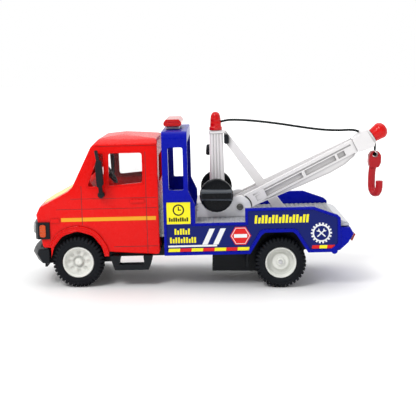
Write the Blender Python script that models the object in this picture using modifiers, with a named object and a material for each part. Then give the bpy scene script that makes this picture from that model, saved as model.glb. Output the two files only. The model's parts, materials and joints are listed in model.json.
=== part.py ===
"""Toy tow truck, about 1:32, as separate pieces that move like the real toy.

Lengths are in millimetres until a mesh is made. +X runs to the rear, +Y to the truck's right, +Z up.
The wheels stand level, and everything else hangs on body_datum, which leans the body nose-down.
"""

import math

import bmesh
import bpy
from mathutils import Matrix, Vector

# ---- driving dimensions, in millimetres and degrees ----
MM = 0.001
GAP = 0.3                     # clearance between pieces that touch
RAKE = math.radians(1.43)     # nose-down lean of the body
RAKE_HEIGHT = 34.0            # height at which the lean leaves a point where it is

TYRE_RADIUS = 12.9
TYRE_WIDTH = 9.4
TYRE_OUTER = 30.0             # outer face of a tyre, from the middle plane
RIM_RADIUS = 8.6
AXLE_RADIUS = 1.0
AXLE_HEIGHT = TYRE_RADIUS
FRONT_AXLE_X = -67.4
REAR_AXLE_X = 35.2
AXLE_TEETH = 12
SPRING_TEETH = 20
GEAR_MODULE = 0.75
GEAR_LINE = math.radians(165)  # direction from the rear axle to the spring gear

CAB_REAR = -26.4
CAB_SILL = 17.6
CAB_HALF_WIDTH = 28.0
CAB_WAIST = 47.0
CAB_GUTTER = 73.6
CAB_WALL = 1.5
NOSE_BOW = 2.0                # how far the middle of the nose stands ahead of its corners
WINDSCREEN = ((-68.6, 54.2), (-60.3, 71.2))   # bottom and top of the windscreen opening, along the glass

BED_FRONT = -23.9
BED_HALF_WIDTH = 31.0
BED_WALL = 2.0
BED_SILL = 17.3
DECK_TOP = 33.4
DECK_THICKNESS = 1.4
HOOP_REAR = -11.2
HOOP_TOP = 79.6
LABEL_RECESS = 0.5

TRAY_HALF_WIDTH = 16.5
TRAY_LOW = 14.7
TRAY_HIGH = 18.6
WELL_RADIUS = 16.6

MAST_X = 3.4
MAST_FOOT = 36.5
MAST_TOP = 76.2
MAST_LENGTH = 8.2             # along the truck, at the foot
MAST_WIDTH = 11.0             # across the truck, at the foot
MAST_TAPER = 0.87
WINCH_X = 2.87
WINCH_Z = 45.8
KNOB_RADIUS = 8.6
CHEEK_INNER = 11.2
CHEEK_OUTER = 14.2
CHEEK_RADIUS = 5.7

PIVOT = (14.75, 39.2)         # boom pivot, in the level frame
BOOM_ANGLE = math.radians(26.6)
BEAM_START = 12.6             # distance of a beam's middle from the middle plane at the pivot
BEAM_YAW = math.radians(7.6)  # how the beams close towards the head
BEAM_THICKNESS = 3.0
BEAM_END = 67.9
HEAD_END = 77.4

ROPE_RADIUS = 0.575
LINE_X = 86.1                 # where the hook line hangs, in the level frame
LINE_TOP = 71.6
HOOK_TOP = 67.0
HOOK_BOTTOM = 42.9
HOOK_BAR = 2.1
HOOK_BEND = 3.9
HOOK_TURN = math.radians(-68)

ROUND_STEPS = 24

COLOURS = {
    "red_plastic": ((0.75, 0.02, 0.015), 0.3, 0.0),
    "blue_plastic": ((0.006, 0.014, 0.42), 0.35, 0.0),
    "black_plastic": ((0.02, 0.023, 0.028), 0.45, 0.0),
    "grey_plastic": ((0.25, 0.25, 0.26), 0.5, 0.0),
    "silver_plastic": ((0.5, 0.52, 0.55), 0.4, 0.3),
    "white_plastic": ((0.8, 0.8, 0.79), 0.4, 0.0),
    "tyre_rubber": ((0.012, 0.014, 0.018), 0.75, 0.0),
    "clear_glazing": ((0.85, 0.87, 0.88), 0.08, 0.0),
    "red_lens": ((0.55, 0.01, 0.01), 0.15, 0.0),
    "orange_lens": ((0.85, 0.2, 0.03), 0.2, 0.0),
    "clear_lens": ((0.8, 0.8, 0.78), 0.1, 0.0),
    "steel": ((0.55, 0.55, 0.56), 0.3, 1.0),
    "black_cord": ((0.01, 0.01, 0.012), 0.85, 0.0),
    "hook_red": ((0.5, 0.03, 0.035), 0.4, 0.0),
}


# ---- scene, frames and materials ----
def clear_scene():
    for obj in list(bpy.data.objects):
        bpy.data.objects.remove(obj)


def new_collection(name):
    collection = bpy.data.collections.new(name)
    bpy.context.scene.collection.children.link(collection)
    return collection


def new_empty(name, location, rotation_y=0.0, parent=None):
    empty = bpy.data.objects.new(name, None)
    PARTS.objects.link(empty)
    empty.parent = parent
    empty.location = Vector(location) * MM
    empty.rotation_euler = (0.0, rotation_y, 0.0)
    return empty


def to_body(x, z):
    """A point of the level frame as the leaning body sees it."""
    up = z - RAKE_HEIGHT
    return (
        x * math.cos(RAKE) + up * math.sin(RAKE),
        RAKE_HEIGHT - x * math.sin(RAKE) + up * math.cos(RAKE),
    )


def material(name):
    found = bpy.data.materials.get(name)
    if found:
        return found
    colour, roughness, metallic = COLOURS[name]
    made = bpy.data.materials.new(name)
    made.use_nodes = True
    shader = made.node_tree.nodes["Principled BSDF"]
    shader.inputs["Base Color"].default_value = (*colour, 1.0)
    shader.inputs["Roughness"].default_value = roughness
    shader.inputs["Metallic"].default_value = metallic
    made.diffuse_color = (*colour, 1.0)
    return made


# ---- outlines ----
def arc(centre, radius, start, end, steps):
    """Points along an arc, from one angle in degrees to another."""
    points = []
    for i in range(steps + 1):
        angle = math.radians(start + (end - start) * i / steps)
        points.append((centre[0] + radius * math.cos(angle), centre[1] + radius * math.sin(angle)))
    return points


def rectangle(low_a, low_b, high_a, high_b):
    return [(low_a, low_b), (high_a, low_b), (high_a, high_b), (low_a, high_b)]


def fillet(points, radius, steps=3):
    """The closed outline with each of its corners rounded as far as its sides allow."""
    rounded = []
    for i, here in enumerate(points):
        corner = Vector(here)
        back = Vector(points[i - 1]) - corner
        ahead = Vector(points[(i + 1) % len(points)]) - corner
        half = back.angle(ahead) / 2
        reach = min(radius / math.tan(half), 0.45 * back.length, 0.45 * ahead.length)
        start = corner + back.normalized() * reach
        end = corner + ahead.normalized() * reach
        for k in range(steps + 1):
            t = k / steps
            rounded.append(tuple(start * (1 - t) ** 2 + corner * 2 * t * (1 - t) + end * t * t))
    return rounded


def mirrored_y(points):
    """An outline in X and Y, continued by its mirror image across the middle plane."""
    return points + [(x, -y) for x, y in reversed(points)]


# ---- making objects ----
FACING = {
    "X": Matrix(((0, 0, 1), (1, 0, 0), (0, 1, 0))),
    "Y": Matrix(((1, 0, 0), (0, 0, -1), (0, 1, 0))),
    "Z": Matrix(((1, 0, 0), (0, 1, 0), (0, 0, 1))),
}


def add_object(name, mesh, surface=None, origin=(0, 0, 0), parent=None):
    """Links a mesh that is drawn in millimetres round the parent's origin, with its own origin at a point."""
    mesh.transform(Matrix.Scale(MM, 4) @ Matrix.Translation(-Vector(origin)))
    mesh.update()
    mesh.name = name
    obj = bpy.data.objects.new(name, mesh)
    obj.parent = parent
    obj.location = Vector(origin) * MM
    if surface:
        mesh.materials.clear()
        mesh.materials.append(material(surface))
        mesh.shade_smooth()
        mesh.set_sharp_from_angle(angle=math.radians(35))
        PARTS.objects.link(obj)
    else:
        obj.hide_render = True
        obj.display_type = "WIRE"
        CUTTERS.objects.link(obj)
    return obj


def evaluated_mesh(obj):
    bpy.context.view_layer.update()
    depsgraph = bpy.context.evaluated_depsgraph_get()
    return bpy.data.meshes.new_from_object(obj.evaluated_get(depsgraph))


def weld(mesh):
    bm = bmesh.new()
    bm.from_mesh(mesh)
    bmesh.ops.remove_doubles(bm, verts=bm.verts, dist=1e-5)
    bm.to_mesh(mesh)
    bm.free()


def plate_mesh(loops, low, high, facing):
    """A plate between two distances along X, Y or Z. Loops inside the first one are holes."""
    curve = bpy.data.curves.new("outline", "CURVE")
    curve.dimensions = "2D"
    curve.fill_mode = "BOTH"
    curve.extrude = (high - low) / 2
    for loop in loops:
        spline = curve.splines.new("POLY")
        spline.points.add(len(loop) - 1)
        for point, (a, b) in zip(spline.points, loop):
            point.co = (a, b, 0, 1)
        spline.use_cyclic_u = True
    flat = bpy.data.objects.new("outline", curve)
    PARTS.objects.link(flat)
    mesh = evaluated_mesh(flat)
    bpy.data.objects.remove(flat)
    weld(mesh)
    middle = (high + low) / 2
    shift = Vector((0, 0, -middle if facing == "Y" else middle))
    mesh.transform(FACING[facing].to_4x4() @ Matrix.Translation(shift))
    return mesh


def plate(name, loops, low, high, facing, surface=None, origin=(0, 0, 0), parent=None):
    if isinstance(loops[0][0], (int, float)):
        loops = [loops]
    return add_object(name, plate_mesh(loops, low, high, facing), surface, origin, parent)


def block(name, low, high, surface=None, origin=(0, 0, 0), parent=None):
    """A box between two corners."""
    bm = bmesh.new()
    bmesh.ops.create_cube(bm, size=1.0)
    size = [b - a for a, b in zip(low, high)]
    bmesh.ops.scale(bm, vec=size, verts=bm.verts)
    bmesh.ops.translate(bm, vec=[(a + b) / 2 for a, b in zip(low, high)], verts=bm.verts)
    mesh = bpy.data.meshes.new(name)
    bm.to_mesh(mesh)
    bm.free()
    return add_object(name, mesh, surface, origin, parent)


def rod(name, start, end, radius, surface=None, origin=(0, 0, 0), parent=None, sides=20, end_radius=None):
    """A cylinder, or a cone with its second radius, from one point to another."""
    run = Vector(end) - Vector(start)
    bm = bmesh.new()
    bmesh.ops.create_cone(
        bm, cap_ends=True, segments=sides, radius1=radius,
        radius2=radius if end_radius is None else end_radius, depth=run.length,
    )
    turn = Vector((0, 0, 1)).rotation_difference(run).to_matrix().to_4x4()
    place = Matrix.Translation((Vector(start) + Vector(end)) / 2)
    bmesh.ops.transform(bm, matrix=place @ turn, verts=bm.verts)
    mesh = bpy.data.meshes.new(name)
    bm.to_mesh(mesh)
    bm.free()
    return add_object(name, mesh, surface, origin, parent)


def turned(name, profile, surface=None, origin=(0, 0, 0), direction=(0, 0, 1), parent=None,
           steps=ROUND_STEPS, ring=False):
    """A turned piece. The profile holds radius and height, down the outer side, about an axis through origin."""
    mesh = bpy.data.meshes.new(name)
    points = [(radius * MM, 0, height * MM) for radius, height in profile]
    edges = [(i, i + 1) for i in range(len(points) - 1)]
    if ring:
        edges.append((len(points) - 1, 0))
    mesh.from_pydata(points, edges, [])
    obj = bpy.data.objects.new(name, mesh)
    (PARTS if surface else CUTTERS).objects.link(obj)
    obj.parent = parent
    obj.location = Vector(origin) * MM
    obj.rotation_mode = "QUATERNION"
    obj.rotation_quaternion = Vector((0, 0, 1)).rotation_difference(Vector(direction))
    screw = obj.modifiers.new("turn", "SCREW")
    screw.steps = steps
    screw.render_steps = steps
    screw.use_merge_vertices = True
    screw.merge_threshold = 1e-6
    screw.use_smooth_shade = True
    if surface:
        mesh.materials.append(material(surface))
    else:
        obj.hide_render = True
        obj.display_type = "WIRE"
    return obj


def tube(name, points, radius, surface, parent=None, origin=(0, 0, 0)):
    """A round bar along points, as a closed mesh."""
    curve = bpy.data.curves.new(name, "CURVE")
    curve.dimensions = "3D"
    curve.bevel_depth = radius
    curve.bevel_resolution = 1
    curve.use_fill_caps = True
    spline = curve.splines.new("POLY")
    spline.points.add(len(points) - 1)
    for point, place in zip(spline.points, points):
        point.co = (*place, 1)
    line = bpy.data.objects.new(name, curve)
    PARTS.objects.link(line)
    mesh = evaluated_mesh(line)
    bpy.data.objects.remove(line)
    weld(mesh)
    return add_object(name, mesh, surface, origin, parent)


def smooth_route(points, spacing):
    """Evenly spaced points along a smooth curve through the given ones."""
    dense = []
    for i in range(len(points) - 1):
        before = Vector(points[max(i - 1, 0)])
        here, ahead = Vector(points[i]), Vector(points[i + 1])
        after = Vector(points[min(i + 2, len(points) - 1)])
        for k in range(24):
            t = k / 24
            dense.append(0.5 * (
                2 * here + (ahead - before) * t
                + (2 * before - 5 * here + 4 * ahead - after) * t * t
                + (3 * here - before - 3 * ahead + after) * t ** 3
            ))
    dense.append(Vector(points[-1]))
    total = sum((b - a).length for a, b in zip(dense, dense[1:]))
    count = max(2, round(total / spacing))
    route, walked, target = [dense[0]], 0.0, total / count
    for a, b in zip(dense, dense[1:]):
        step = (b - a).length
        while walked + step >= target - 1e-9 and len(route) < count:
            route.append(a.lerp(b, (target - walked) / step))
            target += total / count
        walked += step
    route.append(dense[-1])
    return route


def soften(obj, width, segments=2, angle=30):
    bevel = obj.modifiers.new("soft edges", "BEVEL")
    bevel.width = width * MM
    bevel.segments = segments
    bevel.limit_method = "ANGLE"
    bevel.angle_limit = math.radians(angle)
    bevel.use_clamp_overlap = True
    return obj


def combine(obj, operation, others, solver="EXACT"):
    """Adds or removes shapes. The MANIFOLD solver is for a piece whose bevelled faces defeat EXACT."""
    for other in others:
        boolean = obj.modifiers.new(other.name, "BOOLEAN")
        boolean.operation = operation
        boolean.solver = solver
        boolean.object = other
    return obj


def cut(obj, *cutters, solver="EXACT"):
    return combine(obj, "DIFFERENCE", cutters, solver)


def fuse(obj, *others, solver="EXACT"):
    return combine(obj, "UNION", others, solver)


def slice_mesh(obj, axis, places):
    """Adds edge loops across the mesh at these places, in millimetres from the object's parent's origin."""
    bm = bmesh.new()
    bm.from_mesh(obj.data)
    for place in places:
        point = [0.0, 0.0, 0.0]
        point[axis] = place * MM - obj.location[axis]
        normal = [0.0, 0.0, 0.0]
        normal[axis] = 1.0
        geometry = bm.verts[:] + bm.edges[:] + bm.faces[:]
        bmesh.ops.bisect_plane(bm, geom=geometry, plane_co=point, plane_no=normal, dist=1e-7)
    bm.to_mesh(obj.data)
    bm.free()


def reshape(obj, rule):
    """Moves each vertex as a rule says, and leaves flat triangles. The rule takes and returns millimetres."""
    bm = bmesh.new()
    bm.from_mesh(obj.data)
    for vertex in bm.verts:
        place = (vertex.co + obj.location) / MM
        vertex.co = Vector(rule(place)) * MM - obj.location
    bmesh.ops.triangulate(bm, faces=bm.faces)
    bm.to_mesh(obj.data)
    bm.free()


# ---- chassis and running gear ----
def wheel_well(name, axle_x, axle_z, side, rear_lip):
    """The upper half of a shallow cup round a wheel, open outwards."""
    inner_face = 16.0
    rim_face = 26.1
    shell = 1.0
    outer = arc((axle_x, axle_z), WELL_RADIUS + shell, rear_lip, 188, 10)
    inner = arc((axle_x, axle_z), WELL_RADIUS, rear_lip - 4, 192, 10)
    faces = sorted((side * inner_face, side * rim_face))
    cup = plate(name, outer, *faces, "Y", parent=DATUM)
    faces = sorted((side * (inner_face + shell), side * (rim_face + 2)))
    return cup, plate(name + " hollow", inner, *faces, "Y", parent=DATUM)


def chassis_frame():
    front, rear = to_body(FRONT_AXLE_X, AXLE_HEIGHT), to_body(REAR_AXLE_X, AXLE_HEIGHT)
    half = TRAY_HALF_WIDTH
    wall = 1.6
    frame = block("chassis_frame", (-82, -half, TRAY_LOW), (47.5, half, TRAY_HIGH), "black_plastic", parent=DATUM)
    joined, removed = [], []
    inside = (-80.4, -half + wall, TRAY_LOW + wall), (45.9, half - wall, TRAY_HIGH + 1)
    removed.append(block("tray inside", *inside, parent=DATUM))
    for label, (x, z), rear_lip in (("front", front, -8), ("rear", rear, 16)):
        for side in (-1, 1):
            faces = sorted((side * 14.9, side * half))
            low, high = (x - 3.5, faces[0], z - 3.0), (x + 3.5, faces[1], TRAY_HIGH)
            joined.append(block(f"{label} bearing {side}", low, high, parent=DATUM))
            cup, hollow = wheel_well(f"{label} well {side}", x, z, side, rear_lip)
            joined.append(cup)
            removed.append(hollow)
            if label == "front":
                faces = sorted((side * 17.2, side * 30))
                low, high = (-52.6, faces[0], 0), (-45, faces[1], 17.9)
                removed.append(block(f"step clearance {side}", low, high, parent=DATUM))
        ends = (x, -20, z), (x, 20, z)
        removed.append(rod(f"{label} axle hole", *ends, AXLE_RADIUS + 0.08, parent=DATUM, sides=16))
    removed.append(block("motor opening", (-0.8, -14.8, 5), (46, 14.8, 30), parent=DATUM))
    fuse(frame, *joined)
    cut(frame, *removed)


def wheel(name, axle_x, side, rim_profile):
    face = Vector((axle_x, side * TYRE_OUTER, AXLE_HEIGHT))
    direction = (0, side, 0)
    inner, outer = -TYRE_WIDTH, 0.0
    shoulder = 1.3
    tread = [
        (RIM_RADIUS + GAP, inner + 0.5), (RIM_RADIUS + GAP, outer - 0.7), (RIM_RADIUS + 1.4, outer),
        (TYRE_RADIUS - shoulder, outer - 0.3), (TYRE_RADIUS, outer - shoulder - 0.3),
        (TYRE_RADIUS, inner + shoulder + 0.3), (TYRE_RADIUS - shoulder, inner + 0.3), (RIM_RADIUS + 1.4, inner),
    ]
    turned("tyre_" + name, tread, "tyre_rubber", face, direction, ring=True)
    turned("rim_" + name, rim_profile, "white_plastic", face, direction, steps=20, ring=True)


def rims_and_tyres():
    """A front rim's dish is shallow with a raised hub, and a rear rim's is deep with a stepped hub."""
    bore = AXLE_RADIUS + 0.02
    front = [
        (bore, -1.6), (2.1, -1.6), (2.2, -2.8), (6.6, -3.2), (7.6, -0.9), (RIM_RADIUS, -0.7),
        (RIM_RADIUS, -8.8), (7.4, -8.8), (7.0, -4.8), (2.2, -4.8), (2.2, -8.8), (bore, -8.8),
    ]
    rear = [
        (bore, -2.6), (2.2, -2.6), (4.4, -3.8), (4.6, -4.6), (6.9, -4.8), (7.8, -0.9),
        (RIM_RADIUS, -0.7), (RIM_RADIUS, -8.8), (7.4, -8.8), (7.0, -6.2), (2.2, -6.2), (2.2, -8.8), (bore, -8.8),
    ]
    for name, x, profile in (("front", FRONT_AXLE_X, front), ("rear", REAR_AXLE_X, rear)):
        for label, side in (("left", -1), ("right", 1)):
            wheel(f"{name}_{label}", x, side, profile)
        ends = (x, -TYRE_OUTER + 2.2, AXLE_HEIGHT), (x, TYRE_OUTER - 2.2, AXLE_HEIGHT)
        rod(name + "_axle", *ends, AXLE_RADIUS, "steel", (x, 0, AXLE_HEIGHT), sides=16)


def gear_outline(centre, teeth, module, turn=0.0):
    """Straight-flanked teeth: the tip, the flanks and the root of each one."""
    pitch = teeth * module / 2
    points = []
    for i in range(teeth):
        for share, radius in ((-0.34, -1.2), (-0.16, 0.9), (0.16, 0.9), (0.34, -1.2)):
            angle = turn + 2 * math.pi * (i + share) / teeth
            reach = pitch + radius * module
            points.append((centre[0] + reach * math.cos(angle), centre[1] + reach * math.sin(angle)))
    return points


def spring_gear_centre():
    apart = (AXLE_TEETH + SPRING_TEETH) * GEAR_MODULE / 2 + 0.1
    return REAR_AXLE_X + apart * math.cos(GEAR_LINE), AXLE_HEIGHT + apart * math.sin(GEAR_LINE)


def motor():
    """Pull-back motor: a housing open at the top, a spring gear on its own post, and a gear on the rear axle."""
    x, z = spring_gear_centre()
    origin = (x, 0, z)
    axle = (REAR_AXLE_X, 0, AXLE_HEIGHT)
    wall = 1.3
    low, high = (0.5, -14.2, 5.4), (44.0, 14.2, 26.0)
    housing = block("motor_housing", low, high, "black_plastic")
    inside = [a + wall for a in low], (high[0] - wall, high[1] - wall, high[2] + 1)
    hollow = block("motor inside", *inside)
    axle_hole = rod("motor axle hole", (REAR_AXLE_X, -20, AXLE_HEIGHT), (REAR_AXLE_X, 20, AXLE_HEIGHT),
                    AXLE_RADIUS + 0.08, sides=16)
    post = rod("spring post", (x, -13.5, z), (x, -2.6, z), 1.2, sides=16)
    cut(housing, hollow)
    fuse(housing, post)
    cut(housing, axle_hole)

    pinion = plate("axle_gear", gear_outline((REAR_AXLE_X, AXLE_HEIGHT), AXLE_TEETH, GEAR_MODULE, GEAR_LINE),
                   -6.2, -3.6, "Y", "grey_plastic", axle)
    cut(pinion, rod("pinion bore", (REAR_AXLE_X, -8, AXLE_HEIGHT), (REAR_AXLE_X, 0, AXLE_HEIGHT),
                    AXLE_RADIUS + 0.02, sides=16))
    half_tooth = math.pi / SPRING_TEETH
    wheel_outline = gear_outline((x, z), SPRING_TEETH, GEAR_MODULE, GEAR_LINE + math.pi + half_tooth)
    spring_wheel = plate("spring_gear", wheel_outline, -6.0, -3.8, "Y", "grey_plastic", origin)
    cut(spring_wheel, rod("spring wheel bore", (x, -8, z), (x, 0, z), 1.28, sides=16))

    turns, inner, outer, strip = 3, 2.2, 6.0, 0.5
    steps = turns * 12
    angles = [2 * math.pi * turns * i / steps for i in range(steps + 1)]
    radii = [inner + (outer - inner) * i / steps for i in range(steps + 1)]
    line_in = [(x + r * math.cos(a), z + r * math.sin(a)) for a, r in zip(angles, radii)]
    line_out = [(x + (r + strip) * math.cos(a), z + (r + strip) * math.sin(a)) for a, r in zip(angles, radii)]
    plate("mainspring", line_in + line_out[::-1], -12.0, -6.6, "Y", "steel", origin)


def chassis_screw():
    """A screw under the tray, between the wheels, that holds the cab and the rear body to the chassis."""
    head = [(0, 1.2), (1.8, 1.2), (2.2, 0.7), (2.2, 0), (0, 0)]
    turned("chassis_screw", head, "steel", (-30.0, 0, TRAY_LOW - GAP), (0, 0, -1), DATUM, steps=16)


# ---- cab ----
def cab_half_width(z):
    """Half the cab's width at a height: upright to the waist, leaning in to the gutter, then domed."""
    stations = ((0, CAB_HALF_WIDTH), (CAB_WAIST, CAB_HALF_WIDTH), (CAB_GUTTER, 25.4), (75.6, 22.0), (76.8, 17.0),
                (78.2, 8.0))
    for (z0, w0), (z1, w1) in zip(stations, stations[1:]):
        if z <= z1:
            return w0 + (w1 - w0) * (z - z0) / (z1 - z0)
    return stations[-1][1]


def cab_shape(name, outline, half_width, surface=None, trim=0.0):
    """The outline across the cab, shaped to the cab's changing width and its bowed nose."""
    body = plate(name, outline, -half_width, half_width, "Y", surface, parent=DATUM)
    slice_mesh(body, 2, (CAB_WAIST, CAB_GUTTER, 75.6, 76.8))
    slice_mesh(body, 1, (-20, 0, 20))

    def rule(place):
        x, y, z = place
        share = y / half_width
        forward = max(0.0, min(1.0, (-80.0 - x) / 8.0))
        bow = NOSE_BOW * (1 - share * share) * forward
        return x - bow, share * (cab_half_width(z) - trim), z

    reshape(body, rule)
    return body


def cab_outline(inset=0.0):
    """The cab's side view, counter-clockwise from the lower rear corner."""
    i = inset
    lower = CAB_SILL if inset <= 0 else CAB_SILL - 4
    return fillet([
        (CAB_REAR - i, lower), (CAB_REAR - i, 75.8 - i), (-45.0, 77.8 - i), (-56.0, 76.3 - i),
        (-59.9 + i * 0.9, 72.4 - i * 0.4), (-69.8 + i * 1.1, 52.4 - i * 0.2), (-71.8 + i * 0.4, 50.6 - i),
        (-86.4 + i * 0.6, 43.0 - i), (-88.3 + i, 39.2), (-87.6 + i, 35.6), (-85.4 + i, 22.2 if inset <= 0 else lower),
        (-82.0 + i, 21.6 if inset <= 0 else lower),
    ], 1.6, 2)


def front_arch(radius):
    x, z = to_body(FRONT_AXLE_X, AXLE_HEIGHT)
    points = []
    for angle, reach in ((-20, 13.6), (10, 13.8), (32, 14.4), (60, 15.6), (90, 16.0), (120, 15.6), (148, 14.4),
                         (170, 13.8), (200, 13.6)):
        a = math.radians(angle)
        points.append((x + (reach + radius) * math.cos(a), z + (reach + radius) * math.sin(a)))
    return fillet(points, 6, 2)


def cab_shell():
    shell = cab_shape("cab_shell", cab_outline(), CAB_HALF_WIDTH, "red_plastic")
    soften(shell, 0.8, 1, 24)
    (x0, z0), (x1, z1) = WINDSCREEN
    out, back = 5.0, 3.5
    opening = [(x0 - out, z0), (x0 + back, z0), (x1 + back, z1), (x1 - out, z1)]
    windscreen_cut = plate("windscreen opening", opening, -20.5, 20.5, "Y", parent=DATUM)
    door = fillet([(-51.0, 53.0), (-34.2, 54.4), (-34.2, 69.2), (-51.0, 69.2)], 1.2, 2)
    quarter = fillet([(-61.8, 52.8), (-53.6, 53.0), (-53.6, 69.2), (-55.8, 69.2)], 0.9, 2)
    rear = fillet(rectangle(-15, 53, 15, 67), 1.5, 2)
    side_span = (-32, 32)
    trim = []
    for side in (-1, 1):
        faces = sorted((side * 26.4, side * (CAB_HALF_WIDTH + 0.7)))
        trim.append(plate(f"arch flare {side}", front_arch(2.3), *faces, "Y", parent=DATUM))
        faces = sorted((side * 27.4, side * (CAB_HALF_WIDTH + 0.6)))
        trim.append(block(f"door handle {side}", (-40.6, faces[0], 44.4), (-33.6, faces[1], 46.0), parent=DATUM))
        trim.append(block(f"repeater {side}", (-81.0, faces[0], 35.0), (-76.8, faces[1], 37.0), parent=DATUM))
    fuse(shell, *trim, solver="MANIFOLD")
    hollow = cab_shape("cab inside", cab_outline(CAB_WALL), CAB_HALF_WIDTH, trim=CAB_WALL)
    cut(shell, hollow, windscreen_cut,
        plate("door openings", door, *side_span, "Y", parent=DATUM),
        plate("quarter openings", quarter, *side_span, "Y", parent=DATUM),
        plate("rear opening", rear, -30, -24, "X", parent=DATUM), solver="MANIFOLD")
    under_nose = block("below the nose", (-95, -35, 0), (-81.4, 35, 22.4), parent=DATUM)
    under_sill = block("below the sill", (-95, -35, 0), (-20, 35, CAB_SILL - 0.3), parent=DATUM)
    arches = plate("wheel arches", front_arch(0), -35, 35, "Y", parent=DATUM)
    over_tray = block("over the tray", (-95, -17, 0), (-20, 17, TRAY_HIGH + GAP), parent=DATUM)
    cut(shell, arches, under_nose, under_sill, over_tray, solver="MANIFOLD")


def glazing():
    """Clear panes that sit just inside the shell's openings."""
    (x0, z0), (x1, z1) = WINDSCREEN
    back = 2.2
    slope = (x1 - x0) / (z1 - z0)
    reach = 1.4
    low, high = (x0 - slope * reach + back, z0 - reach), (x1 + slope * reach + back, z1 + reach)
    pane = [low, (low[0] + 0.8, low[1]), (high[0] + 0.8, high[1]), high]
    plate("windscreen", pane, -22.3, 22.3, "Y", "clear_glazing", parent=DATUM)
    for label, side in (("left", -1), ("right", 1)):
        outline = [(-60.6, 51.4), (-32.6, 51.4), (-32.6, 70.6), (-54.2, 70.6)]
        glass = plate(f"side_glass_{label}", outline, 0, 0.8, "Y", "clear_glazing", parent=DATUM)

        def rule(place, side=side):
            x, y, z = place
            inner = cab_half_width(z) - CAB_WALL - GAP - 0.1
            return x, side * (inner - y), z

        reshape(glass, rule)
        if side > 0:
            glass.data.flip_normals()
    plate("rear_glass", rectangle(-16.4, 51.6, 16.4, 68.4), -29.1, -28.3, "X", "clear_glazing", parent=DATUM)


def cab_interior():
    dash = fillet([(-71.6, 35.0), (-60.0, 35.0), (-58.0, 50.2), (-60.5, 54.4), (-64.0, 55.4), (-65.2, 50.4),
                   (-71.6, 46.4)], 1.2, 2)
    plate("dashboard", dash, -24.0, 24.0, "Y", "grey_plastic", parent=DATUM)
    bench = fillet([(-50.0, 33.4), (-31.0, 33.4), (-30.4, 61.5), (-33.4, 61.8), (-37.0, 42.6), (-50.0, 41.2)], 1.4, 2)
    seat = plate("seat_bench", bench, -23.4, 23.4, "Y", "grey_plastic", parent=DATUM)
    cut(seat, block("seat split", (-52, -1.2, 43.8), (-25, 1.2, 66), parent=DATUM))
    lean = math.radians(58)
    axis = Vector((math.sin(lean), 0, math.cos(lean)))
    centre = Vector((-54.2, 12.0, 54.6))
    ring = arc((5.3, 0), 0.75, 0, 360 - 72, 4)
    steering = turned("steering_wheel", ring[::-1], "black_plastic", centre, axis, DATUM, steps=16, ring=True)
    spokes = []
    for angle in (90, 210, 330):
        a = math.radians(angle)
        across = Vector((math.cos(lean), 0, -math.sin(lean))) * math.sin(a) + Vector((0, 1, 0)) * math.cos(a)
        spokes.append(rod(f"spoke {angle}", centre, centre + across * 5.3, 0.55, parent=DATUM, sides=6))
    hub = centre - axis * 3.0
    spokes.append(rod("steering column", hub, centre + axis * 0.8, 1.2, parent=DATUM, sides=8))
    fuse(steering, *spokes)


def cab_front():
    """Grille bezel that wraps round the nose, with a headlamp and an indicator at each end."""
    outer = fillet(mirrored_y([(-90.9, 8), (-90.4, 18.0), (-89.2, 26.6), (-87.6, 29.0), (-81.6, 29.0)]), 0.8, 2)
    grille = plate("grille_bezel", outer, 26.8, 35.4, "Z", "black_plastic", parent=DATUM)
    soften(grille, 0.4, 1, 40)
    inside = cab_shape("nose behind the bezel", cab_outline(-GAP), CAB_HALF_WIDTH, trim=-GAP)
    cut(grille, inside, solver="MANIFOLD")


def front_bumper():
    outer = mirrored_y([(-92.92, 9.5), (-92.1, 20.0), (-88.6, 28.4), (-82.4, 28.4)])
    inner = mirrored_y([(-89.0, 9.0), (-88.3, 18.6), (-86.2, 26.5), (-82.4, 26.5)])
    loop = outer[:4] + inner[3::-1] + [(x, -y) for x, y in inner[:4]] + outer[4:]
    bumper = plate("front_bumper", loop, 14.2, 21.6, "Z", "black_plastic", parent=DATUM)
    slice_mesh(bumper, 2, (19.2,))

    def rule(place):
        x, y, z = place
        outside = x < -91 or (x < -84 and abs(y) > 28)
        if outside and z < 15:
            return x + 2.6, y * 0.985, z
        if outside and z > 21:
            return x + 0.9, y, z
        return x, y, z

    reshape(bumper, rule)
    soften(bumper, 0.35, 1, 30)


def side_steps():
    outline = fillet([(-51.8, 17.2), (-46.4, 17.2), (-47.4, 12.6), (-34.4, 12.6), (-35.0, 17.2), (-30.0, 17.2),
                      (-31.2, 12.6), (-32.4, 9.9), (-49.6, 9.9), (-50.4, 12.6)], 0.6, 2)
    for label, side in (("left", -1), ("right", 1)):
        faces = sorted((side * 22.5, side * 28.8))
        plate(f"side_step_{label}", outline, *faces, "Y", "black_plastic", parent=DATUM)


def mirrors():
    head = fillet([(-56.2, 53.4), (-53.6, 53.4), (-53.0, 55.2), (-53.4, 66.4), (-56.2, 66.8), (-56.6, 64.0)], 0.9, 2)
    for label, side in (("left", -1), ("right", 1)):
        faces = sorted((side * 31.6, side * 35.4))
        mirror = plate(f"mirror_{label}", head, *faces, "Y", "black_plastic", parent=DATUM)
        soften(mirror, 0.5, 1, 40)
        foot = Vector((-54.8, side * (CAB_HALF_WIDTH + 1.6), 49.0))
        neck = rod(f"mirror neck {label}", foot, (-54.8, side * 33.2, 54.6), 1.1, parent=DATUM, sides=8)
        upper = rod(f"mirror stay {label}", (-55.2, side * 33.4, 66.0), (-56.6, side * 29.6, 70.8), 0.9,
                    parent=DATUM, sides=8)
        ball = rod(f"mirror foot {label}", foot - Vector((0, side * 1.25, 0)), foot + Vector((0, side * 1.2, 0)), 1.7,
                   parent=DATUM, sides=12)
        fuse(mirror, neck, ball, upper)


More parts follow.
